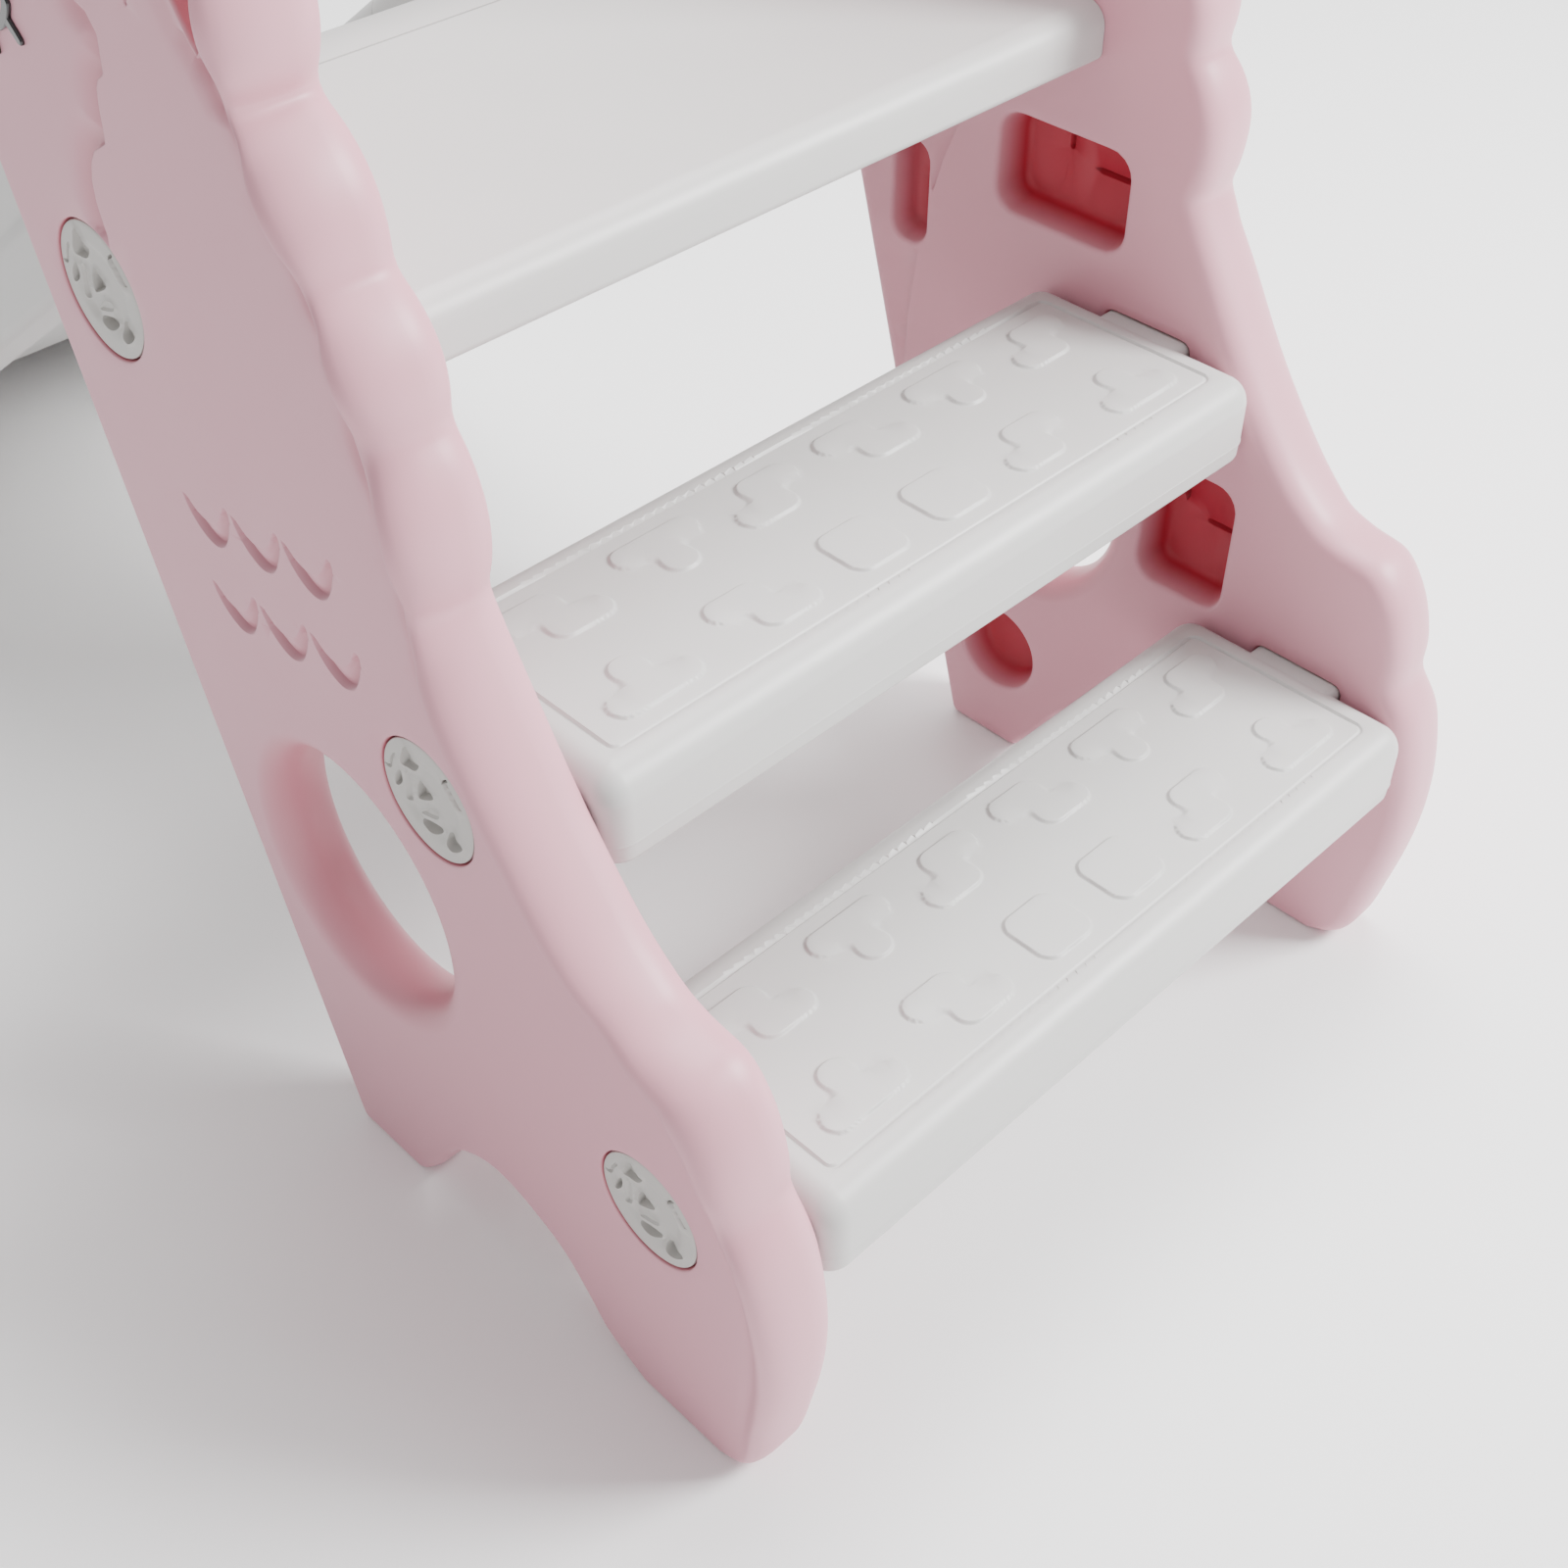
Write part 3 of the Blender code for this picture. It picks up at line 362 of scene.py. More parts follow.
def soft_box(low, high, corner, count=ring_points):
    """A rectangle with round corners, with the same number of points as an oval."""
    centre = (np.array(low) + high) / 2
    half = (np.array(high) - low) / 2
    arc = np.minimum(corner, half)
    core = half - arc
    way = compass(count)
    edge = way / np.max(np.abs(way) / half, axis=1)[:, None]
    pulled = np.clip(edge, -core, core)
    away = edge - pulled
    size = np.hypot(away[:, 0], away[:, 1])
    rounded = np.where(size[:, None] > 0, away / np.maximum(size, 1e-9)[:, None] * arc, 0)
    corners = (np.abs(edge) > core).all(axis=1)
    return centre + np.where(corners[:, None], pulled + rounded, edge)


def inset_ring(loop, distance):
    """A ring moved inwards by distance, for a loop that turns anticlockwise."""
    return loop + left_of(np.roll(loop, -1, axis=0) - np.roll(loop, 1, axis=0)) * distance


def grip_ring(wider):
    """The grip slot's outline, a leaning oval that narrows to its lower end."""
    loop = curve_through([*grip_slot, grip_slot[0]], 12)[:-1]
    length = np.hypot(*(np.roll(loop, -1, axis=0) - loop).T).sum()
    return inset_ring(resampled(loop, length / ring_points, closed=True), -wider)


def lock_centre(node_name):
    low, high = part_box(node_name)
    return (low.y + high.y) / 2 - front, (low.z + high.z) / 2


lock_seats = {place: lock_centre(f"right_{place}_lock") for place in ("lower", "upper", "deck")}
seat_radius, seat_depth, bore_radius = 0.0293, 0.0105, 0.0161
lug_half_width, lug_entry, lug_gap = 0.0260, 0.0124, 0.0006
lug_rise = {"lower": 0.0262, "upper": 0.0262, "deck": 0.0228}
lug_foot = 0.0206

# The wool marks: a smile-shaped recess, deepest along its lower edge, in two rows of three.
mark = [(0, 0), (-0.0035, -0.0075), (-0.0100, -0.0140), (-0.0185, -0.0172), (-0.0262, -0.0145),
        (-0.0310, -0.0075), (-0.0340, 0.0005), (-0.0346, 0.0060), (-0.0318, 0.0078),
        (-0.0285, 0.0020), (-0.0235, -0.0042), (-0.0165, -0.0066), (-0.0090, -0.0048),
        (-0.0035, -0.0008)]
mark_depth = 0.0034
marks = []
for row in range(2):
    for column in range(3):
        tip = np.array((0.3385 - 0.0367 * column - 0.0085 * row,
                        0.3675 + 0.0067 * column - 0.0400 * row))
        marks.append(resampled(curve_through([*mark, mark[0]], 4)[:-1] + tip, 0.0012, closed=True))

# The wool's edge against the face: notched arcs, sharp on the wool's side.
wool_edge = [(0.3510, 0.4766), (0.3536, 0.4893), (0.3529, 0.4986), (0.3498, 0.5067),
             (0.3455, 0.5125), (0.3357, 0.5184), (0.3346, 0.5222), (0.3337, 0.5334),
             (0.3322, 0.5404), (0.3298, 0.5444), (0.3248, 0.5476), (0.3230, 0.5624),
             (0.3276, 0.5689), (0.3340, 0.5709)]
face_scallops = [(0.3340, 0.5709), (0.3230, 0.6050), (0.3330, 0.6420), (0.3620, 0.6660),
                 (0.3980, 0.6760), (0.4340, 0.6700), (0.4660, 0.6480)]
for a, b in zip(face_scallops, face_scallops[1:]):
    start, end = np.array(a), np.array(b)
    right = np.array([(end - start)[1], -(end - start)[0]])
    for step in range(1, 9):
        wool_edge.append(tuple(start + (end - start) * step / 8
                               + right * 0.22 * math.sin(math.pi * step / 8) ** 0.7))
wool_line = resampled(wool_edge, 0.0016)
wool_depth, wool_ramp = 0.0036, 0.0150
chin_line = resampled(curve_through([(0.3931, 0.4704), (0.4108, 0.4763), (0.4282, 0.4835),
                                     (0.4420, 0.4930)], 4), 0.002)
mouth_line = resampled(curve_through([(0.4560, 0.5420), (0.4680, 0.5330), (0.4840, 0.5330),
                                      (0.4960, 0.5420)], 4), 0.002)
nostril = (0.4990, 0.5740)
ear = resampled(curve_through([(0.2975, 0.5790), (0.2890, 0.6060), (0.2940, 0.6440),
                               (0.3080, 0.6680), (0.3160, 0.6640), (0.3150, 0.6340),
                               (0.3080, 0.6000), (0.2975, 0.5790)], 5)[:-1], 0.0016, closed=True)
ear_depth = 0.0030
channel = resampled(curve_through([(0.2590, 0.5800), (0.2563, 0.5741), (0.2540, 0.5673),
                                   (0.2500, 0.5610), (0.2440, 0.5590), (0.2350, 0.5605),
                                   (0.2290, 0.5640)], 4), 0.002)
channel_depth, channel_half = 0.0034, 0.0055


def outer_depth(points, groove_loop, grooves):
    """How far the outer face lies under its flat at each point."""
    depth = np.zeros(len(points))
    gap, _, nearest = distance_to_line(points, groove_loop, closed=True)
    depth += grooves[nearest] * (1 - smoothstep(gap / 0.0060))
    for loop in marks:
        inside = is_inside(points, loop)
        if inside.any():
            here = points[inside]
            lower = loop[:int(len(loop) * 0.56)]
            ramp = 1 - smoothstep(gap_to(here, lower) / 0.0085)
            rim = gap_to(here, loop, closed=True)
            depth[inside] += mark_depth * (0.20 + 0.80 * ramp) * np.clip(rim / 0.0009, 0, 1)
    near, side, _ = distance_to_line(points, wool_line)
    fade = smoothstep((points[:, 1] - 0.468) / 0.010)
    on_face = (side < 0) & (near < wool_ramp)
    depth += np.where(on_face, wool_depth * fade * (1 - smoothstep(near / wool_ramp))
                      * np.clip(near / 0.0007, 0, 1), 0)
    inside_ear = is_inside(points, ear)
    rim = gap_to(points, ear, closed=True)
    depth += np.where(inside_ear, ear_depth * (1 - smoothstep(rim / 0.011))
                      * np.clip(rim / 0.0008, 0, 1), 0)
    for line, deep, half in ((channel, channel_depth, channel_half), (chin_line, -0.0005, 0.0010),
                             (mouth_line, 0.0016, 0.0016)):
        cut = deep * (1 - smoothstep(gap_to(points, line) / half))
        depth = np.maximum(depth, cut) if deep > 0 else depth + cut
    near = np.hypot(points[:, 0] - nostril[0], points[:, 1] - nostril[1])
    depth += 0.0022 * (1 - smoothstep((near - 0.0015) / 0.0035))
    near = gap_to(points, grip_ring(grip_lip), closed=True)
    behind = points[:, 0] > 0.272 + (points[:, 1] - 0.638) * 0.28
    depth += np.where(behind, 0.0030 * (1 - smoothstep(near / 0.010)), 0)
    return depth


# The inner face: a step between the front plateau and the rear field, and moulded pockets.
plateau = resampled([(0.3215, 0.3880), (0.3215, 0.3820), (0.3305, 0.3600), (0.3435, 0.3100),
                     (0.3495, 0.2600), (0.3495, 0.2100)], 0.0020)
rear_sink = 0.0022
pockets = {
    "upper": (soft_box((0.2115, 0.3480), (0.2935, 0.4010), 0.0130), 0.0220,
              [((0.2205, 0.3745), (0.2490, 0.3785)), ((0.2615, 0.3810), (0.2655, 0.3920))]),
    "lower": (soft_box((0.1225, 0.1730), (0.1765, 0.2490), 0.0130), 0.0220,
              [((0.1315, 0.2080), (0.1500, 0.2120)), ((0.1625, 0.2150), (0.1665, 0.2390))]),
    "foot": (oval((0.2655, 0.0680), 0.0270, 0.0270), 0.0200, []),
    "rear": (soft_box((0.3400, 0.3060), (0.3640, 0.3640), 0.0100), 0.0160,
             [((0.3490, 0.3170), (0.3520, 0.3400))]),
}


def inner_depth(points):
    """How far the inner face lies behind its flat, at the rear field only."""
    near, side, _ = distance_to_line(points, plateau)
    low = (side > 0) & (points[:, 1] > 0.205) & (points[:, 1] < 0.395)
    edge = smoothstep(near / 0.0014) * smoothstep((points[:, 1] - 0.205) / 0.05)
    return np.where(low, rear_sink * edge * smoothstep((0.395 - points[:, 1]) / 0.004), 0)


def grid_points(low, high, spacing):
    """Points in staggered rows, which give even triangles."""
    rows = np.arange(low[1], high[1], spacing * 0.866)
    made = []
    for i, v in enumerate(rows):
        us = np.arange(low[0] + (i % 2) * spacing / 2, high[0], spacing)
        made.append(np.stack([us, np.full(len(us), v)], 1))
    return np.vstack(made)


def face_points(loops, lines, spacing=0.0065):
    """Points for a face: a coarse grid, with rows beside each feature's lines."""
    border = loops[0]
    pts = grid_points(border.min(axis=0), border.max(axis=0), spacing)
    keep = is_inside(pts, border)
    for loop in loops:
        keep &= gap_to(pts, loop, closed=True) > spacing * 0.5
    for loop in loops[1:]:
        keep &= ~is_inside(pts, loop)
    fine = []
    for line, offsets, closed in lines:
        ahead = np.roll(line, -1, axis=0) if closed else np.vstack([line[1:], line[-1:]])
        behind = np.roll(line, 1, axis=0) if closed else np.vstack([line[:1], line[:-1]])
        left = left_of(ahead - behind)
        keep &= gap_to(pts, line, closed) > max(abs(o) for o in offsets) + spacing * 0.35
        fine += [line[:, :2] + left * o for o in offsets]
    pts = pts[keep]
    if fine:
        extra = np.vstack(fine)
        good = is_inside(extra, border)
        for loop in loops:
            good &= gap_to(extra, loop, closed=True) > 0.0008
        for loop in loops[1:]:
            good &= ~is_inside(extra, loop)
        pts = np.vstack([pts, extra[good]])
    cells = np.round(pts / 0.0005).astype(int)
    _, first = np.unique(cells, axis=0, return_index=True)
    return pts[np.sort(first)]


def panel_shell():
    """One panel, drawn in side view; heights are distances from the slide's middle plane."""
    shell = Shell()
    y, width, bead, groove, kind = (outline[:, i] for i in (0, 2, 3, 4, 5))
    shares = [0, 0.015, 0.055, 0.12, 0.20, 0.30, 0.40, 0.50, 0.58, 0.66, 0.74, 0.82, 0.91, 1.0]
    outer_rings, inner_rings = [], []
    for q in shares:
        flat = outline[:, :2] + inward * (q * width)[:, None]
        flat[:, 1] = np.maximum(flat[:, 1], 0)
        outer_rings.append(shell.ring(flat, rim_outer(q, width, bead, groove, kind)))
        inner_rings.append(shell.ring(flat, rim_inner(q, width, kind)))
    shell.loft(outer_rings)
    shell.loft(inner_rings)
    low = rim_inner(0, width, kind)
    high = rim_outer(0, width, bead, groove, kind)
    wall = [inner_rings[0],
            *(shell.ring(outline[:, :2], low + (high - low) * share) for share in (0.33, 0.67)),
            outer_rings[0]]
    shell.loft(wall)
    groove_loop = shell.flat(outer_rings[-1])

    # The last number given to each ring below weighs painted shade: the pink turns a deeper red down the
    # window, the grip slot, the lock seats, the lug openings and the pockets.
    outer_holes, inner_holes = [], []
    half = panel_thickness / 2
    mouth_rings = []
    for step in range(17):
        turn = math.pi * step / 16
        smaller = window_throat * math.sin(turn)
        loop = oval(window_centre, window_mouth[0] - smaller, window_mouth[1] - smaller)
        mouth_rings.append(shell.ring(loop, outer_face - half * (1 - math.cos(turn)),
                                      0.35 * math.sin(turn)))
    shell.loft(mouth_rings)
    outer_holes.append(mouth_rings[0])
    inner_holes.append(mouth_rings[-1])

    slot_rings = []
    for step in range(6):
        turn = math.pi / 2 * step / 5
        slot_rings.append(shell.ring(grip_ring(grip_lip * (1 - math.sin(turn))),
                                     outer_face - grip_lip * (1 - math.cos(turn)),
                                     0.5 * step / 5))
    for step in range(6):
        turn = math.pi / 2 * step / 5
        slot_rings.append(shell.ring(grip_ring(grip_lip * (1 - math.cos(turn))),
                                     inner_face + grip_lip * (1 - math.sin(turn)),
                                     0.5 * (1 - step / 5)))
    shell.loft(slot_rings)
    outer_holes.append(slot_rings[0])
    inner_holes.append(slot_rings[-1])

    for place, (cy, cz) in lock_seats.items():
        rings = []
        seat_floor = outer_face - seat_depth
        for radius, height, shade in (
                (seat_radius + 0.0010, outer_face, 0.0),
                (seat_radius + 0.0003, outer_face - 0.0002, 0.1),
                (seat_radius, outer_face - 0.0009, 0.5), (seat_radius, seat_floor, 1.0),
                (seat_radius - 0.003, seat_floor, 1.0), (bore_radius, seat_floor, 1.0),
                (bore_radius, inner_face + lug_entry, 1.0)):
            rings.append(shell.ring(oval((cy, cz), radius, radius), height, shade))
        low_corner = (cy - lug_half_width - lug_gap, cz - lug_foot)
        high_corner = (cy + lug_half_width + lug_gap, cz + lug_rise[place])
        for grown, height in ((0, inner_face + lug_entry), (0, inner_face + 0.0012),
                              (0.0008, inner_face)):
            loop = soft_box(np.array(low_corner) - grown, np.array(high_corner) + grown, 0.006)
            rings.append(shell.ring(loop, height, 0.8 if not grown else 0.1))
        shell.loft(rings)
        outer_holes.append(rings[0])
        inner_holes.append(rings[-1])

    for loop, deep, slots in pockets.values():
        rings = []
        profile = [(-0.0028, 0.0), (-0.0016, 0.0003), (-0.0005, 0.0013), (0.0, 0.0030),
                   (0.0018, deep * 0.5), (0.0032, deep - 0.004), (0.0042, deep - 0.0014),
                   (0.0064, deep)]
        for inset, drop in profile:
            rings.append(shell.ring(inset_ring(loop, inset), inner_face + drop,
                                    min(1.0, drop / 0.018)))
        shell.loft(rings)
        slot_tops = []
        for low_corner, high_corner in slots:
            corner = min(np.array(high_corner) - low_corner) / 2 - 1e-4
            ring_loop = soft_box(low_corner, high_corner, corner, 28)
            stack = [shell.ring(ring_loop, inner_face + deep, 1.0),
                     shell.ring(inset_ring(ring_loop, 0.0005), inner_face + deep + 0.0006, 1.2),
                     shell.ring(inset_ring(ring_loop, 0.0007), inner_face + deep + 0.0050, 1.3)]
            shell.loft(stack)
            shell.fill(stack[-1])
            slot_tops.append(stack[0])
        shell.fill(rings[-1], slot_tops)
        inner_holes.append(rings[0])

    def loops_of(border, holes):
        return [shell.flat(ring) for ring in (border, *holes)]

    def outside_height(points):
        return outer_face - outer_depth(points, groove_loop, groove)

    lines = [(loop, (0.0006, 0.0, -0.0009, -0.0028, -0.0050), True) for loop in marks]
    lines += [(wool_line, (0.0006, 0.0, -0.0008, -0.003, -0.006, -0.009, -0.0125), False),
              (ear, (0.0006, 0.0, -0.0009, -0.003, -0.006), True),
              (channel, (-0.005, -0.0025, 0.0, 0.0025, 0.005), False),
              (chin_line, (-0.0011, 0.0, 0.0011), False),
              (mouth_line, (-0.0017, -0.0006, 0.0006, 0.0017), False),
              (oval(nostril, 0.0030, 0.0030, 24), (-0.0024, 0.0, 0.0024), True)]
    lines.append((groove_loop[kind > 0.5], (-0.0020, -0.0042, -0.0070), False))
    extra = face_points(loops_of(outer_rings[-1], outer_holes), lines)
    # The outer face gets painted shade in proportion to how far it lies under its flat, in the marks,
    # grooves, ear, channel, mouth, nostril and behind the grip.
    shell.fill(outer_rings[-1], outer_holes, extra, outside_height,
               lambda p: 0.22 * outer_depth(p, groove_loop, groove) / mark_depth)
    lines = [(plateau, (0.0012, 0.0, -0.0012), False)]
    extra = face_points(loops_of(inner_rings[-1], inner_holes), lines, 0.008)
    shell.fill(inner_rings[-1], inner_holes, extra, lambda p: inner_face + inner_depth(p))
    return shell


def beside_plane(rows):
    """(y, z, height) rows of the right panel, as x, y, z in the slide's frame."""
    return np.stack([rows[:, 2], rows[:, 0] + front, rows[:, 1]], 1)


def mirrored_plane(rows):
    return beside_plane(rows) * (-1, 1, 1)


def new_material(name, settings):
    """A material with the given values on its shader, then its node tree and its shader."""
    material = bpy.data.materials.new(name)
    material.use_nodes = True
    shader = material.node_tree.nodes["Principled BSDF"]
    for socket, value in settings.items():
        shader.inputs[socket].default_value = value
    return material, material.node_tree, shader


def moulded_polyethylene(name, colour, painted_shade_colour, roughness, mottle):
    """Blow-moulded polyethylene: a waxy satin skin with a faint orange peel from the mould. Recesses,
    slots and holes get painted shade, a deeper red mixed in by each point's shade weight."""
    material, tree, shader = new_material(name, {"IOR": 1.51})
    place = node(tree, "ShaderNodeTexCoord").outputs["Object"]
    cloud = node(tree, "ShaderNodeTexNoise", {"Scale": 1 / 0.070, "Detail": 3}, {"Vector": place})
    tint = node(tree, "ShaderNodeMix", {"data_type": "RGBA"}, {"Factor": cloud.outputs["Fac"]})
    light = [min(1, c * (1 + mottle)) for c in linear(colour)[:3]] + [1]
    dark = [c * (1 - mottle) for c in linear(colour)[:3]] + [1]
    for socket, value in ((6, dark), (7, light)):
        tint.inputs[socket].default_value = value
    # Painted shade: a deep red mixed in by each point's weight, strongest down in recesses, slots and
    # holes.
    recess_shade = node(tree, "ShaderNodeAttribute", {"attribute_name": "recess_shade"})
    recess_shade_mix = node(tree, "ShaderNodeMix", {"data_type": "RGBA"}, {"Factor": recess_shade.outputs["Fac"]})
    tree.links.new(tint.outputs[2], recess_shade_mix.inputs[6])
    recess_shade_mix.inputs[7].default_value = linear(painted_shade_colour)
    tree.links.new(recess_shade_mix.outputs[2], shader.inputs["Base Color"])
    # Orange peel about 1.4 mm across, a hundredth of that deep.
    peel = node(tree, "ShaderNodeTexNoise", {"Scale": 1 / 0.0014, "Detail": 2}, {"Vector": place})
    bump = node(tree, "ShaderNodeBump", {"Strength": 0.10, "Distance": 0.00012},
                {"Height": peel.outputs["Fac"]})
    tree.links.new(bump.outputs["Normal"], shader.inputs["Normal"])
    # Handling polish and mould sheen vary over about 40 mm.
    sheen = node(tree, "ShaderNodeTexNoise", {"Scale": 1 / 0.040, "Detail": 4}, {"Vector": place})
    gloss = node(tree, "ShaderNodeMapRange", {"To Min": roughness - 0.05, "To Max": roughness + 0.06},
                 {"Value": sheen.outputs["Fac"]})
    tree.links.new(gloss.outputs["Result"], shader.inputs["Roughness"])
    return material


# B32D3F is the deep red of the painted shade in the panels' recesses, slots and holes.
pink_polyethylene = moulded_polyethylene(
    "pink blow-moulded polyethylene", "#D89DAA", "#B32D3F", 0.42, 0.012)
panel = panel_shell()
for side_name, place in (("right", beside_plane), ("left", mirrored_plane)):
    name = f"{side_name}_side_panel"
    finish_piece(f"{side_name}_panel_moulding", panel.mesh(name + "_mesh", place),
                 pink_polyethylene, "root", name)

# ---------------------------------------------------------------------------------------------
# Steps. Two hollow blow-moulded boxes in pale grey polyethylene. A groove runs round the top
# inside its rounded edge, and low cloud-shaped pads give grip. A lug at each end enters a panel.


def anticlockwise(loop):
    loop = np.asarray(loop, float)
    y, z = loop[:, 0], loop[:, 1]
    return loop if (y * np.roll(z, -1) - np.roll(y, -1) * z).sum() > 0 else loop[::-1]


def rounded_rectangle(low, high, corner, inset=0.0, long_steps=60, short_steps=18, bends=8):
    """A rectangle with round corners whose sides are cut into even steps."""
    (u0, v0), (u1, v1) = np.add(low, inset), np.subtract(high, inset)
    c = max(corner - inset, 0.0012)
    centres = [(u1 - c, v0 + c), (u1 - c, v1 - c), (u0 + c, v1 - c), (u0 + c, v0 + c)]
    rows = []
    for i, (cu, cv) in enumerate(centres):
        for k in range(bends + 1):
            a = math.radians(90 * (i - 1 + k / bends))
            rows.append((cu + c * math.cos(a), cv + c * math.sin(a)))
        a = math.radians(90 * i)
        nu, nv = centres[(i + 1) % 4]
        start, end = rows[-1], (nu + c * math.cos(a), nv + c * math.sin(a))
        steps = long_steps if i % 2 else short_steps
        for k in range(1, steps):
            rows.append(tuple(s + (e - s) * k / steps for s, e in zip(start, end)))
    return np.array(rows)


def box_distance(points, centre, core, radius):
    """Distance to a rectangle grown by a radius; negative inside it."""
    away = np.abs(points - centre) - core
    outside = np.hypot(*np.maximum(away, 0).T)
    return outside + np.minimum(away.max(axis=1), 0) - radius


def blend(one, two, width):
    """The smaller of two distances, with the hollow between the shapes rounded."""
    mixed = np.maximum(width - np.abs(one - two), 0)
    return np.minimum(one, two) - mixed ** 2 / (4 * width)


def pad_distance(points, bars):
    distance = None
    for u, v, half_length, half_width, radius in bars:
        bar = box_distance(points, (u, v), (half_length, half_width), radius)
        distance = bar if distance is None else blend(distance, bar, 0.009)
    return distance


def contour(bars, level, count=64):
    """The line round a pad at a given distance from its edge, found along rays."""
    centre = np.mean([bar[:2] for bar in bars], axis=0)
    rays = compass(count)
    near, far = np.zeros(count), np.full(count, 0.045)
    for _ in range(22):
        middle = (near + far) / 2
        inside = pad_distance(centre + rays * middle[:, None], bars) < level
        near, far = np.where(inside, middle, near), np.where(inside, far, middle)
    return centre + rays * near[:, None]


def leaning(u, v, way):
    """A pad of two bars side by side, the rear one moved to the left or right."""
    return [(u - way * 0.0075, v + 0.0080, 0.0090, 0, 0.0078),
            (u + way * 0.0075, v - 0.0080, 0.0090, 0, 0.0078)]


def cloud(u, v, way):
    """A pad of one long bar with a lobe in front of it or behind it."""
    return [(u, v - way * 0.0085, 0.0165, 0, 0.0076), (u, v + way * 0.0078, 0.0010, 0, 0.0080)]


pad_left, pad_right = 1, -1
pads = [leaning(-0.154, 0.0970, pad_left), cloud(-0.090, 0.0970, -1),
        leaning(-0.030, 0.0970, pad_right), leaning(0.034, 0.0970, pad_left),
        cloud(0.096, 0.0970, -1), leaning(0.158, 0.0970, pad_right),
        cloud(-0.155, 0.0420, 1), leaning(-0.087, 0.0420, pad_left),
        [(-0.0260, 0.0420, 0.0090, 0.0080, 0.0080)], [(0.0270, 0.0420, 0.0095, 0.0080, 0.0080)],
        leaning(0.088, 0.0420, pad_right), cloud(0.157, 0.0420, 1)]
pad_height, groove_depth = 0.0015, 0.0014
tread_round, tread_corner = 0.0140, 0.0130
clear_half = inner_face - 0.0004


def soft_block(low, high, radius=0.0, steps=1, chosen=()):
    """A box with all its edges rounded, or those that rows of (test, radius, steps) choose."""
    shape = bmesh.new()
    bmesh.ops.create_cube(shape, size=1)
    size = [b - a for a, b in zip(low, high)]
    shape.transform(Matrix.Translation([(a + b) / 2 for a, b in zip(low, high)])
                    @ Matrix.Diagonal((*size, 1)))
    for test, offset, segments in chosen or [(lambda middle: True, radius, steps)]:
        edges = [e for e in shape.edges if test((e.verts[0].co + e.verts[1].co) / 2)]
        bmesh.ops.bevel(shape, geom=edges, offset=offset, segments=segments, profile=0.5,
                        affect="EDGES", clamp_overlap=not chosen)
    made = bpy.data.meshes.new("block")
    shape.to_mesh(made)
    shape.free()
    return made


def turned(profile, place, sides=48):
    """A round piece from (radius, height) rows; place moves (u, v, height) rows into position."""
    shell = Shell()
    rings = [shell.ring(oval((0, 0), r, r, sides), h) for r, h in profile]
    shell.loft(rings)
    shell.fill(rings[0])
    shell.fill(rings[-1])
    return shell.mesh("turned", place)


def crossways(side, y, z):
    """Placement for a round piece whose axis runs across the slide, heights going outwards."""
    return lambda rows: np.stack([side * rows[:, 2], y + rows[:, 0], z + rows[:, 1]], 1)


def finished_mesh(piece, *tools):
    """The mesh that an object's modifiers leave; the object and its tools are removed."""
    made = bpy.data.meshes.new_from_object(
        piece.evaluated_get(bpy.context.evaluated_depsgraph_get()))
    for item in (piece, *tools):
        bpy.data.objects.remove(item)
    return made


def carved(mesh, added=(), removed=(), sharp=32):
    """Joins solids to a solid and cuts others out. Flats stay flat and hard edges hard."""
    piece = linked("carving", mesh)
    tools = []
    for operation, meshes in (("UNION", added), ("DIFFERENCE", removed)):
        for other in meshes:
            tools.append(linked("tool", other))
            step = piece.modifiers.new(operation, "BOOLEAN")
            step.operation, step.solver, step.object = operation, "MANIFOLD", tools[-1]
    made = finished_mesh(piece, *tools)
    made.shade_smooth()
    made.set_sharp_from_angle(angle=math.radians(sharp))
    piece = linked("shading", made)
    piece.modifiers.new("weighted normals", "WEIGHTED_NORMAL").keep_sharp = True
    return finished_mesh(piece)


lug_root, lug_tip = clear_half - 0.020, inner_face + 0.0120
cavity_radius, cavity_floor, cavity_mouth = 0.0167, inner_face - 0.0066, inner_face + 0.0200


def span(side, near, far):
    """Two places across the slide on one side of its middle plane, lower first."""
    return sorted((side * near, side * far))


def lug_parts(lock_name):
    """Both end lugs for a lock pair, and the round cavities that the locks turn in."""
    y, z = lock_centre(lock_name)
    y += front
    lugs, cavities = [], []
    for side in (-1, 1):
        low_x, high_x = span(side, lug_root, lug_tip)
        top = z + lug_rise[lock_name.split("_")[1]] - lug_gap
        lugs.append(soft_block((low_x, y - lug_half_width, z - lug_foot + lug_gap),
                               (high_x, y + lug_half_width, top), 0.0050, 5))
        cavities.append(turned([(cavity_radius, cavity_floor), (cavity_radius, cavity_mouth)],
                               crossways(side, y, z)))
    return lugs, cavities


# Below the rounded edge: rows of inset and depth under the top, with the mould's parting line.
tread_side = [(0, 0.0328), (-0.0002, 0.0334), (-0.0003, 0.0338), (-0.0002, 0.0342),
              (0.0003, 0.0350), (0.0006, 0.0415), (0.0013, 0.0432), (0.0026, 0.0444),
              (0.0048, 0.0450)]
groove_low, groove_high, groove_corner = (-0.1915, 0.0172), (0.1915, 0.1222), 0.0045
pad_levels = (0.0012, 0.0007, 0.0003, -0.0001, -0.0006, -0.0011)


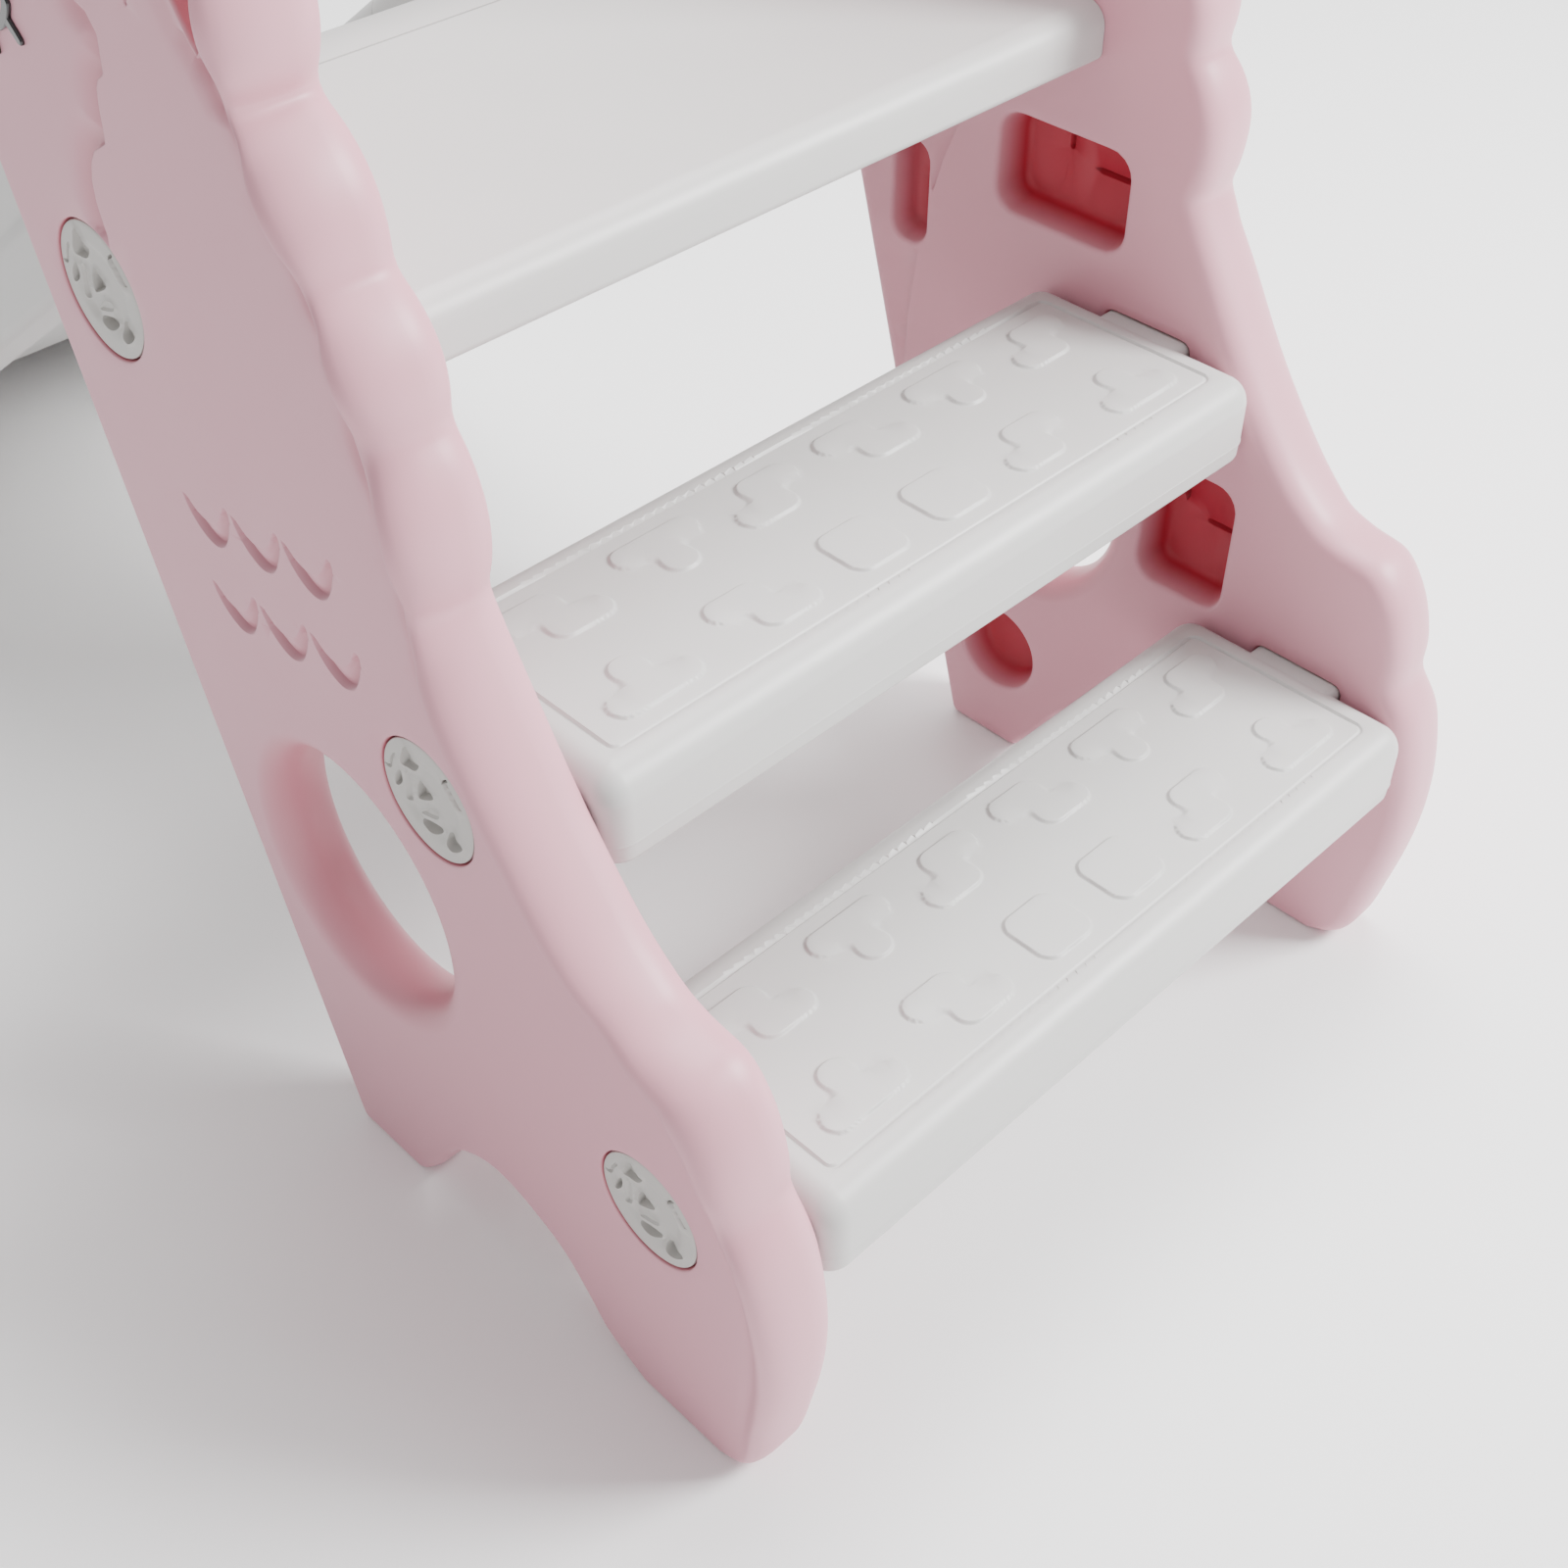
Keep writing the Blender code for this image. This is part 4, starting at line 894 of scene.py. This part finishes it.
def tread_mesh(node_name, lock_name):
    """One step: relief on top, rounded edge, parting line, flat underside, lugs."""
    low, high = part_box(node_name)
    top = high.z
    near, far = (-clear_half, low.y), (clear_half, high.y)
    shell = Shell()
    rings = []
    for step in range(11):
        a = math.pi / 2 * step / 10
        rings.append(shell.ring(
            rounded_rectangle(near, far, tread_corner, tread_round * (1 - math.sin(a))),
            top - tread_round * (1 - math.cos(a))))
    rings += [shell.ring(rounded_rectangle(near, far, tread_corner, inset), top - drop)
              for inset, drop in tread_side]
    shell.loft(rings)
    origin = np.array((0, low.y))
    groove = rounded_rectangle(origin + groove_low, origin + groove_high, groove_corner)

    def height(points):
        gap, side, _ = distance_to_line(points, groove, closed=True)
        behind = smoothstep((points[:, 1] - low.y - 0.010) / 0.020)
        made = top - groove_depth * (0.45 + 0.55 * behind) * (1 - smoothstep((gap - 0.0003) / 0.0010))
        for bars in pads:
            distance = pad_distance(points - origin, bars)
            made += pad_height * (1 - smoothstep((distance + 0.0010) / 0.0017))
        return made

    lines = [(groove, (-0.0014, -0.0008, -0.0003, 0.0003, 0.0008, 0.0014), True)]
    points = [face_points([shell.flat(rings[0])], lines, 0.0062)]
    contours = [[origin + contour(bars, level) for level in pad_levels] for bars in pads]
    for rows in contours:
        points = [p[~is_inside(p, inset_ring(rows[0], -0.002))] for p in points]
    for rows in contours:
        inner = inset_ring(rows[-1], 0.003)
        core = grid_points(inner.min(axis=0), inner.max(axis=0), 0.005)
        points += rows + [core[is_inside(core, inner)]]
    shell.fill(rings[0], extra=np.vstack(points), height=height)
    shell.fill(rings[-1])
    lugs, cavities = lug_parts(lock_name)
    return carved(shell.mesh(node_name + "_mesh", lambda rows: rows), lugs, cavities, 40)


def moulded_grey(name, colour, roughness, grain):
    """Pale grey plastic from a fine-blasted mould: even colour, satin, a very fine grain."""
    material, tree, shader = new_material(name, {"IOR": 1.50})
    place = node(tree, "ShaderNodeTexCoord").outputs["Object"]
    cloud_noise = node(tree, "ShaderNodeTexNoise", {"Scale": 1 / 0.060, "Detail": 3},
                       {"Vector": place})
    tint = node(tree, "ShaderNodeMix", {"data_type": "RGBA"},
                {"Factor": cloud_noise.outputs["Fac"]})
    for socket, share in ((6, 0.985), (7, 1.015)):
        tint.inputs[socket].default_value = [min(1, c * share) for c in linear(colour)[:3]] + [1]
    tree.links.new(tint.outputs[2], shader.inputs["Base Color"])
    fine = node(tree, "ShaderNodeTexNoise", {"Scale": 1 / grain, "Detail": 2}, {"Vector": place})
    bump = node(tree, "ShaderNodeBump", {"Strength": 0.12, "Distance": 0.00006},
                {"Height": fine.outputs["Fac"]})
    tree.links.new(bump.outputs["Normal"], shader.inputs["Normal"])
    gloss = node(tree, "ShaderNodeMapRange",
                 {"To Min": roughness - 0.04, "To Max": roughness + 0.05},
                 {"Value": cloud_noise.outputs["Fac"]})
    tree.links.new(gloss.outputs["Result"], shader.inputs["Roughness"])
    return material


grey_polyethylene = moulded_grey("grey blow-moulded polyethylene", "#C9C8C6", 0.40, 0.0009)
for place in ("lower", "upper"):
    node_name = f"{place}_step"
    finish_piece(f"{node_name}_moulding", tread_mesh(node_name, f"right_{place}_lock"),
                 grey_polyethylene, "root", node_name)

# ---------------------------------------------------------------------------------------------
# Deck. One plain grey polyethylene plate at the top of the steps, with a soft front edge. The
# chute's hook enters a groove under its rear, and its end lugs are locked in the panels.

deck_low, deck_high = (corner.copy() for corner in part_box("deck"))
deck_thick, touching = 0.028, 1e-5
deck_under = deck_high.z - deck_thick
deck_mesh = soft_block(
    (-clear_half, deck_low.y, deck_under), (clear_half, deck_high.y, deck_high.z), chosen=[
        (lambda m: m.y < deck_low.y + touching and m.z > deck_high.z - touching, 0.0120, 12),
        (lambda m: m.y < deck_low.y + touching and m.z < deck_under + touching, 0.0050, 5),
        (lambda m: m.z > deck_high.z - touching
         and (abs(m.x) > clear_half - touching or m.y > deck_high.y - touching), 0.0025, 4)])
chute_half = inner_face - 0.003
hook_y = deck_high.y - 0.042
hook_groove = soft_block((-chute_half, hook_y - 0.0008, deck_under - 0.01),
                         (chute_half, hook_y + 0.0096, deck_under + 0.0098), 0.0005, 1)
screw_y = deck_high.y - 0.017
screw_x = (-inner_face * 0.55, inner_face * 0.55)


def upright(x, y):
    return lambda rows: rows + (x, y, 0)


screw_holes = [turned([(0.0066, deck_under - 0.01), (0.0066, deck_under + 0.014)],
                      upright(x, screw_y), 32) for x in screw_x]
deck_lugs, deck_cavities = lug_parts("right_deck_lock")
finish_piece("deck_moulding",
             carved(deck_mesh, deck_lugs, [*deck_cavities, hook_groove, *screw_holes]),
             grey_polyethylene, "root", "deck")

# ---------------------------------------------------------------------------------------------
# Chute. Two grey polyethylene sections with rolled side rails and a channel pressed along each
# rail. The lower one's spigots enter the upper one's rails, and a pin holds each of them.

bed_start = (deck_high.y - front + 0.0015, deck_high.z - 0.001)
slope = math.radians(36)
crest_radius, runout_radius, runout_height, runout_length = 0.120, 0.250, 0.045, 0.050
rail_high, rail_thick, bed_thick, skirt = 0.070, 0.036, 0.028, 0.064
half_bed = chute_half - rail_thick
seam_gap, upper_length = 0.0012, 0.300
nose_low, nose_bulge = 0.018, 0.008


def bed_stations():
    """The bed's line as rows of y, z, slope, and the length run so far."""
    y, z = bed_start
    rows = [(y + crest_radius * math.sin(a), z - crest_radius * (1 - math.cos(a)), a)
            for a in np.linspace(0, slope, 13)]
    y, z, _ = rows[-1]
    drop = runout_radius * (1 - math.cos(slope))
    run = (z - runout_height - drop) / math.tan(slope)
    length = run / math.cos(slope)
    stops = sorted({*np.linspace(0, length, 60)[1:].tolist(), upper_length,
                    upper_length + seam_gap})
    rows += [(y + s * math.cos(slope), z - s * math.sin(slope), slope) for s in stops]
    y, z, _ = rows[-1]
    rows += [(y + runout_radius * (math.sin(slope) - math.sin(a)),
              runout_height + runout_radius * (1 - math.cos(a)), a)
             for a in np.linspace(slope, 0, 22)[1:]]
    y, z, _ = rows[-1]
    rows += [(y + s, z, 0.0) for s in runout_length * (1 - (1 - np.linspace(0, 1, 17)[1:]) ** 2)]
    rows = np.array(rows)
    run = np.concatenate([[0], np.cumsum(np.hypot(*np.diff(rows[:, :2], axis=0).T))])
    return np.column_stack([rows, run])


stations = bed_stations()
seam_run = stations[12, 3] + upper_length
total_run = stations[-1, 3]
channel_low, channel_high, channel_deep = -0.034, 0.036, 0.0045
channel_shape = [(0.0, 0.0), (0.06, 0.15), (0.12, 0.75), (0.18, 1.0), (0.5, 1.0), (0.82, 1.0),
                 (0.88, 0.75), (0.94, 0.15), (1.0, 0.0)]       # shares of its height and depth
skirt_round, bed_fillet = 0.006, 0.014


def arc(centre, radius, start, end, count):
    """Points round part of a circle, between two angles in degrees."""
    turn = np.radians(np.linspace(start, end, count))
    return np.stack([centre[0] + radius * np.cos(turn), centre[1] + radius * np.sin(turn)], 1)


def half_profile(run, angle, z):
    """Half the chute's cross-section: rows of x and height square to the bed, outside first."""
    to_end = total_run - run
    tall = rail_high - 0.012 * max(0.0, 1 - run / 0.050) ** 2
    drop = 0.5 - 0.5 * math.cos(math.pi * min(1.0, to_end / 0.012)) if to_end < 0.012 else 1.0
    tall -= (1 - drop) * 0.012
    deepest = min(skirt, max(0.002, z / math.cos(angle)))
    if run < 0.030:
        deepest = min(deepest, skirt - 0.014 + 0.014 * run / 0.030)
    start = smoothstep((run - 0.030) / 0.025) * smoothstep((seam_run - 0.022 - run) / 0.025)
    later = smoothstep((run - seam_run - 0.025) / 0.025) * smoothstep((to_end - 0.10) / 0.04)
    pressed = channel_deep * float(max(start, later))
    rolled = rail_thick / 2
    rows = [(half_bed + 0.004, -deepest), (chute_half - skirt_round, -deepest),
            *arc((chute_half - skirt_round, skirt_round - deepest), skirt_round, -90, 0, 6)[1:]]
    low = max(channel_low, -deepest + 0.012)
    rows += [(chute_half - pressed * press, low + (channel_high - low) * share)
             for share, press in channel_shape]
    return [*rows, *arc((chute_half - rolled, tall - rolled), rolled, 0, 180, 17),
            *arc((half_bed - bed_fillet, bed_fillet), bed_fillet, 0, -90, 9)]


def chute_rings(chosen):
    """The section's rings of points, station by station, in the slide's frame."""
    rings = []
    for y, z, angle, run in chosen:
        under = -min(bed_thick, max(0.001, z / math.cos(angle)))
        right = [(half_bed - 0.004, under), *half_profile(run, angle, z)]
        flat_half = half_bed - bed_fillet
        across_bed = [(x, 0.0) for x in np.linspace(flat_half, -flat_half, 17)[1:-1]]
        loop = right + across_bed + [(-x, h) for x, h in right[::-1]]
        to_end = total_run - run
        bulge = nose_bulge * max(0.0, 1 - to_end / 0.050)
        points = []
        for x, h in loop:
            level = (z + h * math.cos(angle) - nose_low) / (rail_high + runout_height - nose_low)
            swell = bulge * (1 - (2 * min(1, max(0, level)) - 1) ** 2)
            tuck = 0.018 * max(0.0, 1 - to_end / 0.018) * max(0.0, -level * 2.0)
            points.append((x, y + h * math.sin(angle) + swell - min(tuck, 0.010) + front,
                           max(0.0, z + h * math.cos(angle))))
        rings.append(points)
    return rings


def swept(name, rings):
    """A closed solid from rings with as many points, its ends filled."""
    made = bpy.data.meshes.new(name)
    count = len(rings[0])
    faces = []
    for i in range(len(rings) - 1):
        for j in range(count):
            k = (j + 1) % count
            faces.append((i * count + j, i * count + k, (i + 1) * count + k, (i + 1) * count + j))
    faces += [tuple(range(count)), tuple(range((len(rings) - 1) * count, len(rings) * count))]
    made.from_pydata([p for ring in rings for p in ring], [], faces)
    shape = bmesh.new()
    shape.from_mesh(made)
    bmesh.ops.triangulate(shape, faces=[f for f in shape.faces if len(f.verts) > 4])
    bmesh.ops.recalc_face_normals(shape, faces=shape.faces)
    shape.to_mesh(made)
    shape.free()
    return made


seam_y = float(np.interp(seam_run, stations[:, 3], stations[:, 0]))
seam_z = float(np.interp(seam_run, stations[:, 3], stations[:, 1]))


def sloped(along, up):
    return (seam_y + along * math.cos(slope) + up * math.sin(slope) + front,
            seam_z - along * math.sin(slope) + up * math.cos(slope))


def slope_block(low_x, high_x, along, up):
    """A box lined up with the chute's slope."""
    block = soft_block((low_x, 0, 0), (high_x, along[1] - along[0], up[1] - up[0]), 0.0012, 2)
    y, z = sloped(along[0], up[0])
    block.transform(Matrix.Translation((0, y, z)) @ Matrix.Rotation(-slope, 4, "X"))
    return block


spigot_length, spigot_half, hole_radius = 0.060, 0.009, 0.0064
pin_y, pin_z = sloped(-spigot_length * 0.55, 0.017)
rail_middle = chute_half - rail_thick / 2
upper_solid = swept("upper_chute_mesh", chute_rings(stations[stations[:, 3] < seam_run + 1e-6]))
lower_solid = swept("lower_chute_mesh", chute_rings(
    stations[stations[:, 3] > seam_run + seam_gap - 1e-6]))
spigots, sockets, pin_holes, spigot_holes = [], [], [], []
for side in (-1, 1):
    low_x, high_x = span(side, rail_middle - spigot_half, rail_middle + spigot_half)
    spigots.append(slope_block(low_x, high_x, (-spigot_length, 0.0112), (-0.020, 0.030)))
    sockets.append(slope_block(low_x - 0.0004, high_x + 0.0004,
                               (-spigot_length - 0.0008, 0.010), (-0.0204, 0.0304)))
    place = crossways(side, pin_y, pin_z)
    for holes in (pin_holes, spigot_holes):
        holes.append(turned([(hole_radius, half_bed - 0.01), (hole_radius, rail_middle + 0.012)],
                            place, 32))
    pin_holes.append(turned([(0.0134, half_bed - 0.01), (0.0134, half_bed + 0.0044)], place))
flange_top, flange_thick, flange_half = deck_under - 0.0004, 0.012, chute_half - 0.004
flange = soft_block((-flange_half, hook_y, flange_top - flange_thick),
                    (flange_half, deck_high.y + 0.020, flange_top), 0.002, 3)
hook = soft_block((-flange_half, hook_y, flange_top - 0.004),
                  (flange_half, hook_y + 0.008, flange_top + 0.009), 0.002, 3)
flange_holes = [turned([(hole_radius, flange_top - 0.02), (hole_radius, flange_top + 0.001)],
                       upright(x, screw_y), 32) for x in screw_x]
finish_piece("upper_chute_moulding",
             carved(upper_solid, [flange, hook], [*sockets, *pin_holes, *flange_holes]),
             grey_polyethylene, "root", "upper_chute")
finish_piece("lower_chute_moulding", carved(lower_solid, spigots, spigot_holes),
             grey_polyethylene, "root", "lower_chute")

# ---------------------------------------------------------------------------------------------
# Locks. Six quarter-turn locks in light grey polypropylene hold the steps and the deck. Each has
# a dished face with moulded pockets, thin ribs and a springy bar. A real one has a peg as well,
# which the finished mesh lacks.

lock_radius, lock_head, lock_sink = 0.0285, 0.0095, 0.0006
# Pocket outlines in mm from the lock's centre, seen from outside with +Y to the left: depth first.
lock_pockets = [
    (3.2, [(-9, 23.6), (-6.6, 21.6), (-4.2, 18), (-4.2, 15), (-8, 10.4), (-14.6, 9.6), (-15, 12),
           (-13.2, 17), (-11, 22)]),
    (3.0, [(-16.8, 6), (-17.2, -1), (-19, -3.4), (-20.6, -3), (-20.4, 0.4), (-18.4, 4.6)]),
    (1.6, [(-14.8, 5.2), (-13, 6.4), (-11, 5.8), (-11, 0), (-11.8, -7.4), (-13.4, -9), (-15.8, -8.2),
           (-15.6, 0)]),
    (4.2, [(-5, 7.2), (-3.6, 7.4), (2.2, 4), (2.8, 2.4), (0, -0.2), (-6.6, -3.8), (-8.2, -3),
           (-7.4, 3)]),
    (1.6, [(-1.6, -5.4), (4.4, -4.4), (5, -6.4), (2.4, -8.8), (-6, -11.4), (-7, -10.4)]),
    (4.2, [(-6, -13.6), (-1, -12), (5.6, -10.8), (7, -12), (5.2, -14.8), (1, -17.6), (-3.4, -17.8),
           (-7, -15.8)]),
    (3.2, [(11, -10), (14.6, -8.2), (21, -10.6), (18.6, -14.6), (14, -17.8), (11, -17.8),
           (9.2, -14.8)]),
    (3.4, [(11, 13.8), (12.4, 13.2), (17.4, 6.2), (16.8, 4), (15, 4), (11.2, 10.4)]),
    (2.4, [(12.2, 17.6), (13.2, 18.2), (16.4, 20.8), (15.4, 21.8), (12.4, 19.6)]),
]
lock_notch = [(-27.4, 3.6), (-24.4, 3.4), (-22.8, 5.4), (-21.6, 9), (-19.4, 12.6)]
bar_ends = [(14.2, 16.8), (20.4, 9.2)]
peg_centre = (-18.6, -15.4)
dish_edge, dish_floor, dish_deep = 20.5, 15.5, 1.7
rib_height, bar_height, bar_half, notch_depth = 0.0007, 0.0012, 0.0024, 0.0012
shaft_radius, shaft_end = 0.0100, inner_face - 0.0046
ribbed_pockets = 7
ear_reach, ear_half = 0.0147, 0.004       # the two ears on the shaft that catch behind the lug


def seen_from_outside(rows):
    """Face drawings in mm, with +Y to the left, as metres along Y and Z."""
    return np.asarray(rows, float) * (-0.001, 0.001)


notch_line = resampled(curve_through(seen_from_outside(lock_notch), 4), 0.0008)
bar_line = resampled(seen_from_outside(bar_ends), 0.0008)
pocket_loops = []
for deep, rows in lock_pockets:
    loop = anticlockwise(seen_from_outside(rows))
    loop = curve_through([*loop, loop[0]], 6)[:-1]
    loop = softened(resampled(loop, 0.0005, closed=True), 0.0006, 0.0005)
    pocket_loops.append((deep * 0.001, resampled(loop, 0.0007, closed=True)))


def lock_face_height(points):
    """The lock face's height under its rim: dish, ribs round pockets, bar and notch."""
    radius = np.hypot(points[:, 0], points[:, 1]) * 1000
    made = -dish_deep * 0.001 * smoothstep((dish_edge - radius) / (dish_edge - dish_floor))
    for _, loop in pocket_loops[:ribbed_pockets]:
        gap = gap_to(points, loop, closed=True)
        made += rib_height * (1 - smoothstep((gap - 0.0004) / 0.0010))
    made += bar_height * np.sqrt(np.clip(1 - (gap_to(points, bar_line) / bar_half) ** 2, 0, 1))
    return made - notch_depth * (1 - smoothstep((gap_to(points, notch_line) - 0.0003) / 0.0005))


def lock_mesh(side, y, z):
    shell = Shell()
    face = outer_face - lock_sink
    back = face - lock_head
    turned_profile = [
        (shaft_radius - 0.0008, shaft_end), (shaft_radius, inner_face - 0.0042),
        (shaft_radius, inner_face + 0.0016), (shaft_radius, back - 0.010), (shaft_radius, back),
        (0.0262, back), (0.0279, back + 0.0003), (lock_radius, back + 0.0010),
        (lock_radius, face - 0.0040), (lock_radius, face - 0.0010),
        (lock_radius - 0.0003, face - 0.0003), (lock_radius - 0.0010, face)]
    stack = [shell.ring(oval((0, 0), r, r, 96), h) for r, h in turned_profile]
    shell.loft(stack)
    shell.fill(stack[0])
    tops = []
    for deep, loop in pocket_loops:
        flat = lock_face_height(loop)
        walls = [shell.ring(loop, face + flat),
                 shell.ring(inset_ring(loop, 0.00018), face + flat - 0.00030, 0.2),
                 shell.ring(inset_ring(loop, 0.00060), face - 0.0004 - deep * 0.75, 0.7),
                 shell.ring(inset_ring(loop, 0.00100), face - 0.0004 - deep, 1.0)]
        shell.loft(walls)
        shell.fill(walls[-1])
        tops.append(walls[0])
    lines = [(notch_line, (-0.0009, -0.0004, 0.0, 0.0004, 0.0009), False),
             (bar_line, (-0.0024, -0.0020, -0.0010, 0.0, 0.0010, 0.0020, 0.0024), False)]
    points = face_points([shell.flat(stack[-1]), *(loop for _, loop in pocket_loops)], lines, 0.0020)
    shell.fill(stack[-1], tops, points, lambda p: face + lock_face_height(p))
    head = shell.mesh("lock_mesh", crossways(side, y, z))
    peg_y, peg_z = seen_from_outside([peg_centre])[0]
    peg = turned([(0.0019, face - 0.003), (0.0019, face + 0.0004), (0.0016, face + 0.0040),
                  (0.0012, face + 0.0048), (0.0005, face + 0.0051)],
                 crossways(side, y + peg_y, z + peg_z), 24)
    low_x, high_x = span(side, shaft_end, inner_face + 0.0008)
    ears = soft_block((low_x, y - ear_reach, z - ear_half), (high_x, y + ear_reach, z + ear_half),
                      0.0008, 2)
    # The head's mesh has open edges, so both joins are skipped and the peg and ears are missing.
    return carved(head, [peg, ears], [], 38)


lock_polypropylene = moulded_grey("light grey moulded polypropylene", "#BDBAB6", 0.46, 0.0007)
for hand, side in (("left", -1), ("right", 1)):
    for place, (y, z) in lock_seats.items():
        lock_name = f"{hand}_{place}_lock"
        finish_piece(f"{lock_name}_moulding", lock_mesh(side, y + front, z), lock_polypropylene,
                     lock_name, lock_name)

# ---------------------------------------------------------------------------------------------
# Eyes. One on the outer face of each panel: a closed lid with three lashes, in gloss black acrylic
# that stands a little proud of the face, with softened edges.


def stroke_mesh(rows, low, high):
    """A rounded stroke from rows of y, z and half width, standing between two heights."""
    rows = np.asarray(rows, float)
    way = unit(np.gradient(rows[:, :2], axis=0))
    sideways = left_of(way) * rows[:, 2:]
    sides = [rows[:, :2] + sideways, rows[:, :2] - sideways]
    ends = []
    for row, heading in ((rows[-1], way[-1]), (rows[0], -way[0])):
        start = math.atan2(heading[1], heading[0])
        turns = start + np.radians(np.linspace(90, -90, 10)[1:-1])
        ends.append(row[:2] + row[2] * np.stack([np.cos(turns), np.sin(turns)], 1))
    loop = anticlockwise(np.vstack([sides[0], ends[0], sides[1][::-1], ends[1]]))
    shell = Shell()
    rings = [shell.ring(inset_ring(loop, inset), h) for inset, h in (
        (0, low), (0, high - 0.0007), (0.0002, high - 0.0003), (0.0006, high))]
    shell.loft(rings)
    shell.fill(rings[0])
    shell.fill(rings[-1])
    return shell


eye_centre = (0.4040, 0.5620)
lid_radius, stroke_half = 0.0188, 0.0024
lash_start, lash_end, lash_tip_half = 0.0190, 0.0290, 0.0019


def eye_mesh(place):
    """The lid and its lashes, joined; place puts it on the right or the left panel."""
    y, z = eye_centre
    bottom, top = outer_face + 0.0001, outer_face + 0.0016
    lid = [(*point, stroke_half) for point in arc(eye_centre, lid_radius, 200, 340, 29)]
    pieces = [stroke_mesh(lid, bottom, top)]
    for k, degrees in enumerate((222, 270, 318)):
        a = math.radians(degrees)
        lash = [(y + r * math.cos(a), z + r * math.sin(a), w)
                for r, w in zip(np.linspace(lash_start, lash_end, 7),
                                np.linspace(stroke_half, lash_tip_half, 7))]
        pieces.append(stroke_mesh(lash, bottom, top - 0.00005 * (k + 1)))
    meshes = [shell.mesh("stroke", place) for shell in pieces]
    return carved(meshes[0], meshes[1:])


eye_black, _, _ = new_material("gloss black pad-printed acrylic", {
    "Base Color": linear("#151517"), "Roughness": 0.16, "Coat Weight": 0.6})
for hand, place in (("left", mirrored_plane), ("right", beside_plane)):
    finish_piece(f"{hand}_eye_inlay", eye_mesh(place), eye_black, "root", f"{hand}_eye")

# ---------------------------------------------------------------------------------------------
# Fasteners. Two polypropylene screws hold the chute's flange up to the deck, and two push pins
# cross the rails at the seam. Each has a domed head; the screws have a cross recess.

cut_half = 0.0011            # half the width of the slots in the heads
for hand, side in (("left", -1), ("right", 1)):
    pin = turned([(0.0040, half_bed + 0.0002), (0.0090, half_bed + 0.0004), (0.0118, half_bed + 0.0011),
                  (0.0130, half_bed + 0.0024), (0.0130, half_bed + 0.0040),
                  (0.0060, half_bed + 0.0040), (0.0060, rail_middle + 0.0090),
                  (0.0052, rail_middle + 0.0108)], crossways(side, pin_y, pin_z), 48)
    low_x, high_x = span(side, half_bed, half_bed + 0.0015)
    slot_cut = soft_block((low_x, pin_y - 0.008, pin_z - cut_half),
                          (high_x, pin_y + 0.008, pin_z + cut_half), 0.0002, 1)
    finish_piece(f"{hand}_seam_pin_moulding", carved(pin, [], [slot_cut]), lock_polypropylene,
                 "root", f"{hand}_seam_pin")
    head_top = flange_top - flange_thick - 0.0004
    x = side * screw_x[1]
    screw = turned([(0.0060, deck_under + 0.0118), (0.0060, head_top), (0.0130, head_top),
                    (0.0130, head_top - 0.0016), (0.0118, head_top - 0.0029),
                    (0.0080, head_top - 0.0038), (0.0020, head_top - 0.0040)],
                   upright(x, screw_y), 48)
    crosses = [soft_block((x - a, screw_y - b, head_top - 0.006), (x + a, screw_y + b, head_top - 0.0022),
                          0.0003, 1) for a, b in ((0.0055, cut_half), (cut_half, 0.0055))]
    finish_piece(f"{hand}_chute_screw_moulding", carved(screw, [], crosses), lock_polypropylene,
                 "root", f"{hand}_chute_screw")

# ---------------------------------------------------------------------------------------------
# Floor, light and camera. The slide stands on a plain pale painted floor in a white studio. Two
# soft square lights shine from above, and the camera looks down past the near panel at the steps.

floor, _, _ = new_material("pale painted floor", {"Base Color": linear("#FFFFFF"), "Roughness": 0.9})
floor_half = 6.0
floor_corners = [(-floor_half, -floor_half, 0), (floor_half, -floor_half, 0),
                 (floor_half, floor_half, 0), (-floor_half, floor_half, 0)]
floor_mesh = bpy.data.meshes.new("floor")
floor_mesh.from_pydata(floor_corners, [], [(0, 1, 2, 3)])
floor_mesh.materials.append(floor)
linked("floor", floor_mesh)

world = bpy.data.worlds.new("white studio")
bpy.context.scene.world = world
world.use_nodes = True
sky = world.node_tree.nodes["Background"]
sky.inputs["Color"].default_value = (1, 1, 1, 1)
sky.inputs["Strength"].default_value = 0.66


def soft_light(name, place, target, size, power):
    """A square area light that faces a point."""
    light = bpy.data.lights.new(name, "AREA")
    light.shape, light.size, light.energy = "SQUARE", size, power
    lamp = linked(name, light)
    lamp.location = place
    lamp.rotation_euler = (Vector(target) - Vector(place)).to_track_quat("-Z", "Y").to_euler()


soft_light("key light", (1.5, -1.9, 1.9), (0, -0.3, 0.35), 1.0, 150)
soft_light("top light", (0.7, 0.3, 2.6), (0, -0.2, 0.3), 1.8, 95)

eye = Vector((-0.5575, -0.3202 + front, 0.8431))
turn, dip = math.radians(44.68), math.radians(41.73)
look = Vector((math.sin(turn) * math.cos(dip), math.cos(turn) * math.cos(dip), -math.sin(dip)))
lens = bpy.data.cameras.new("camera")
lens.lens, lens.sensor_width = 46.8, 36
lens.shift_x, lens.shift_y = 0.0064, -0.0253
camera = linked("camera", lens)
camera.location = eye
camera.rotation_euler = look.to_track_quat("-Z", "Y").to_euler()
bpy.context.scene.camera = camera
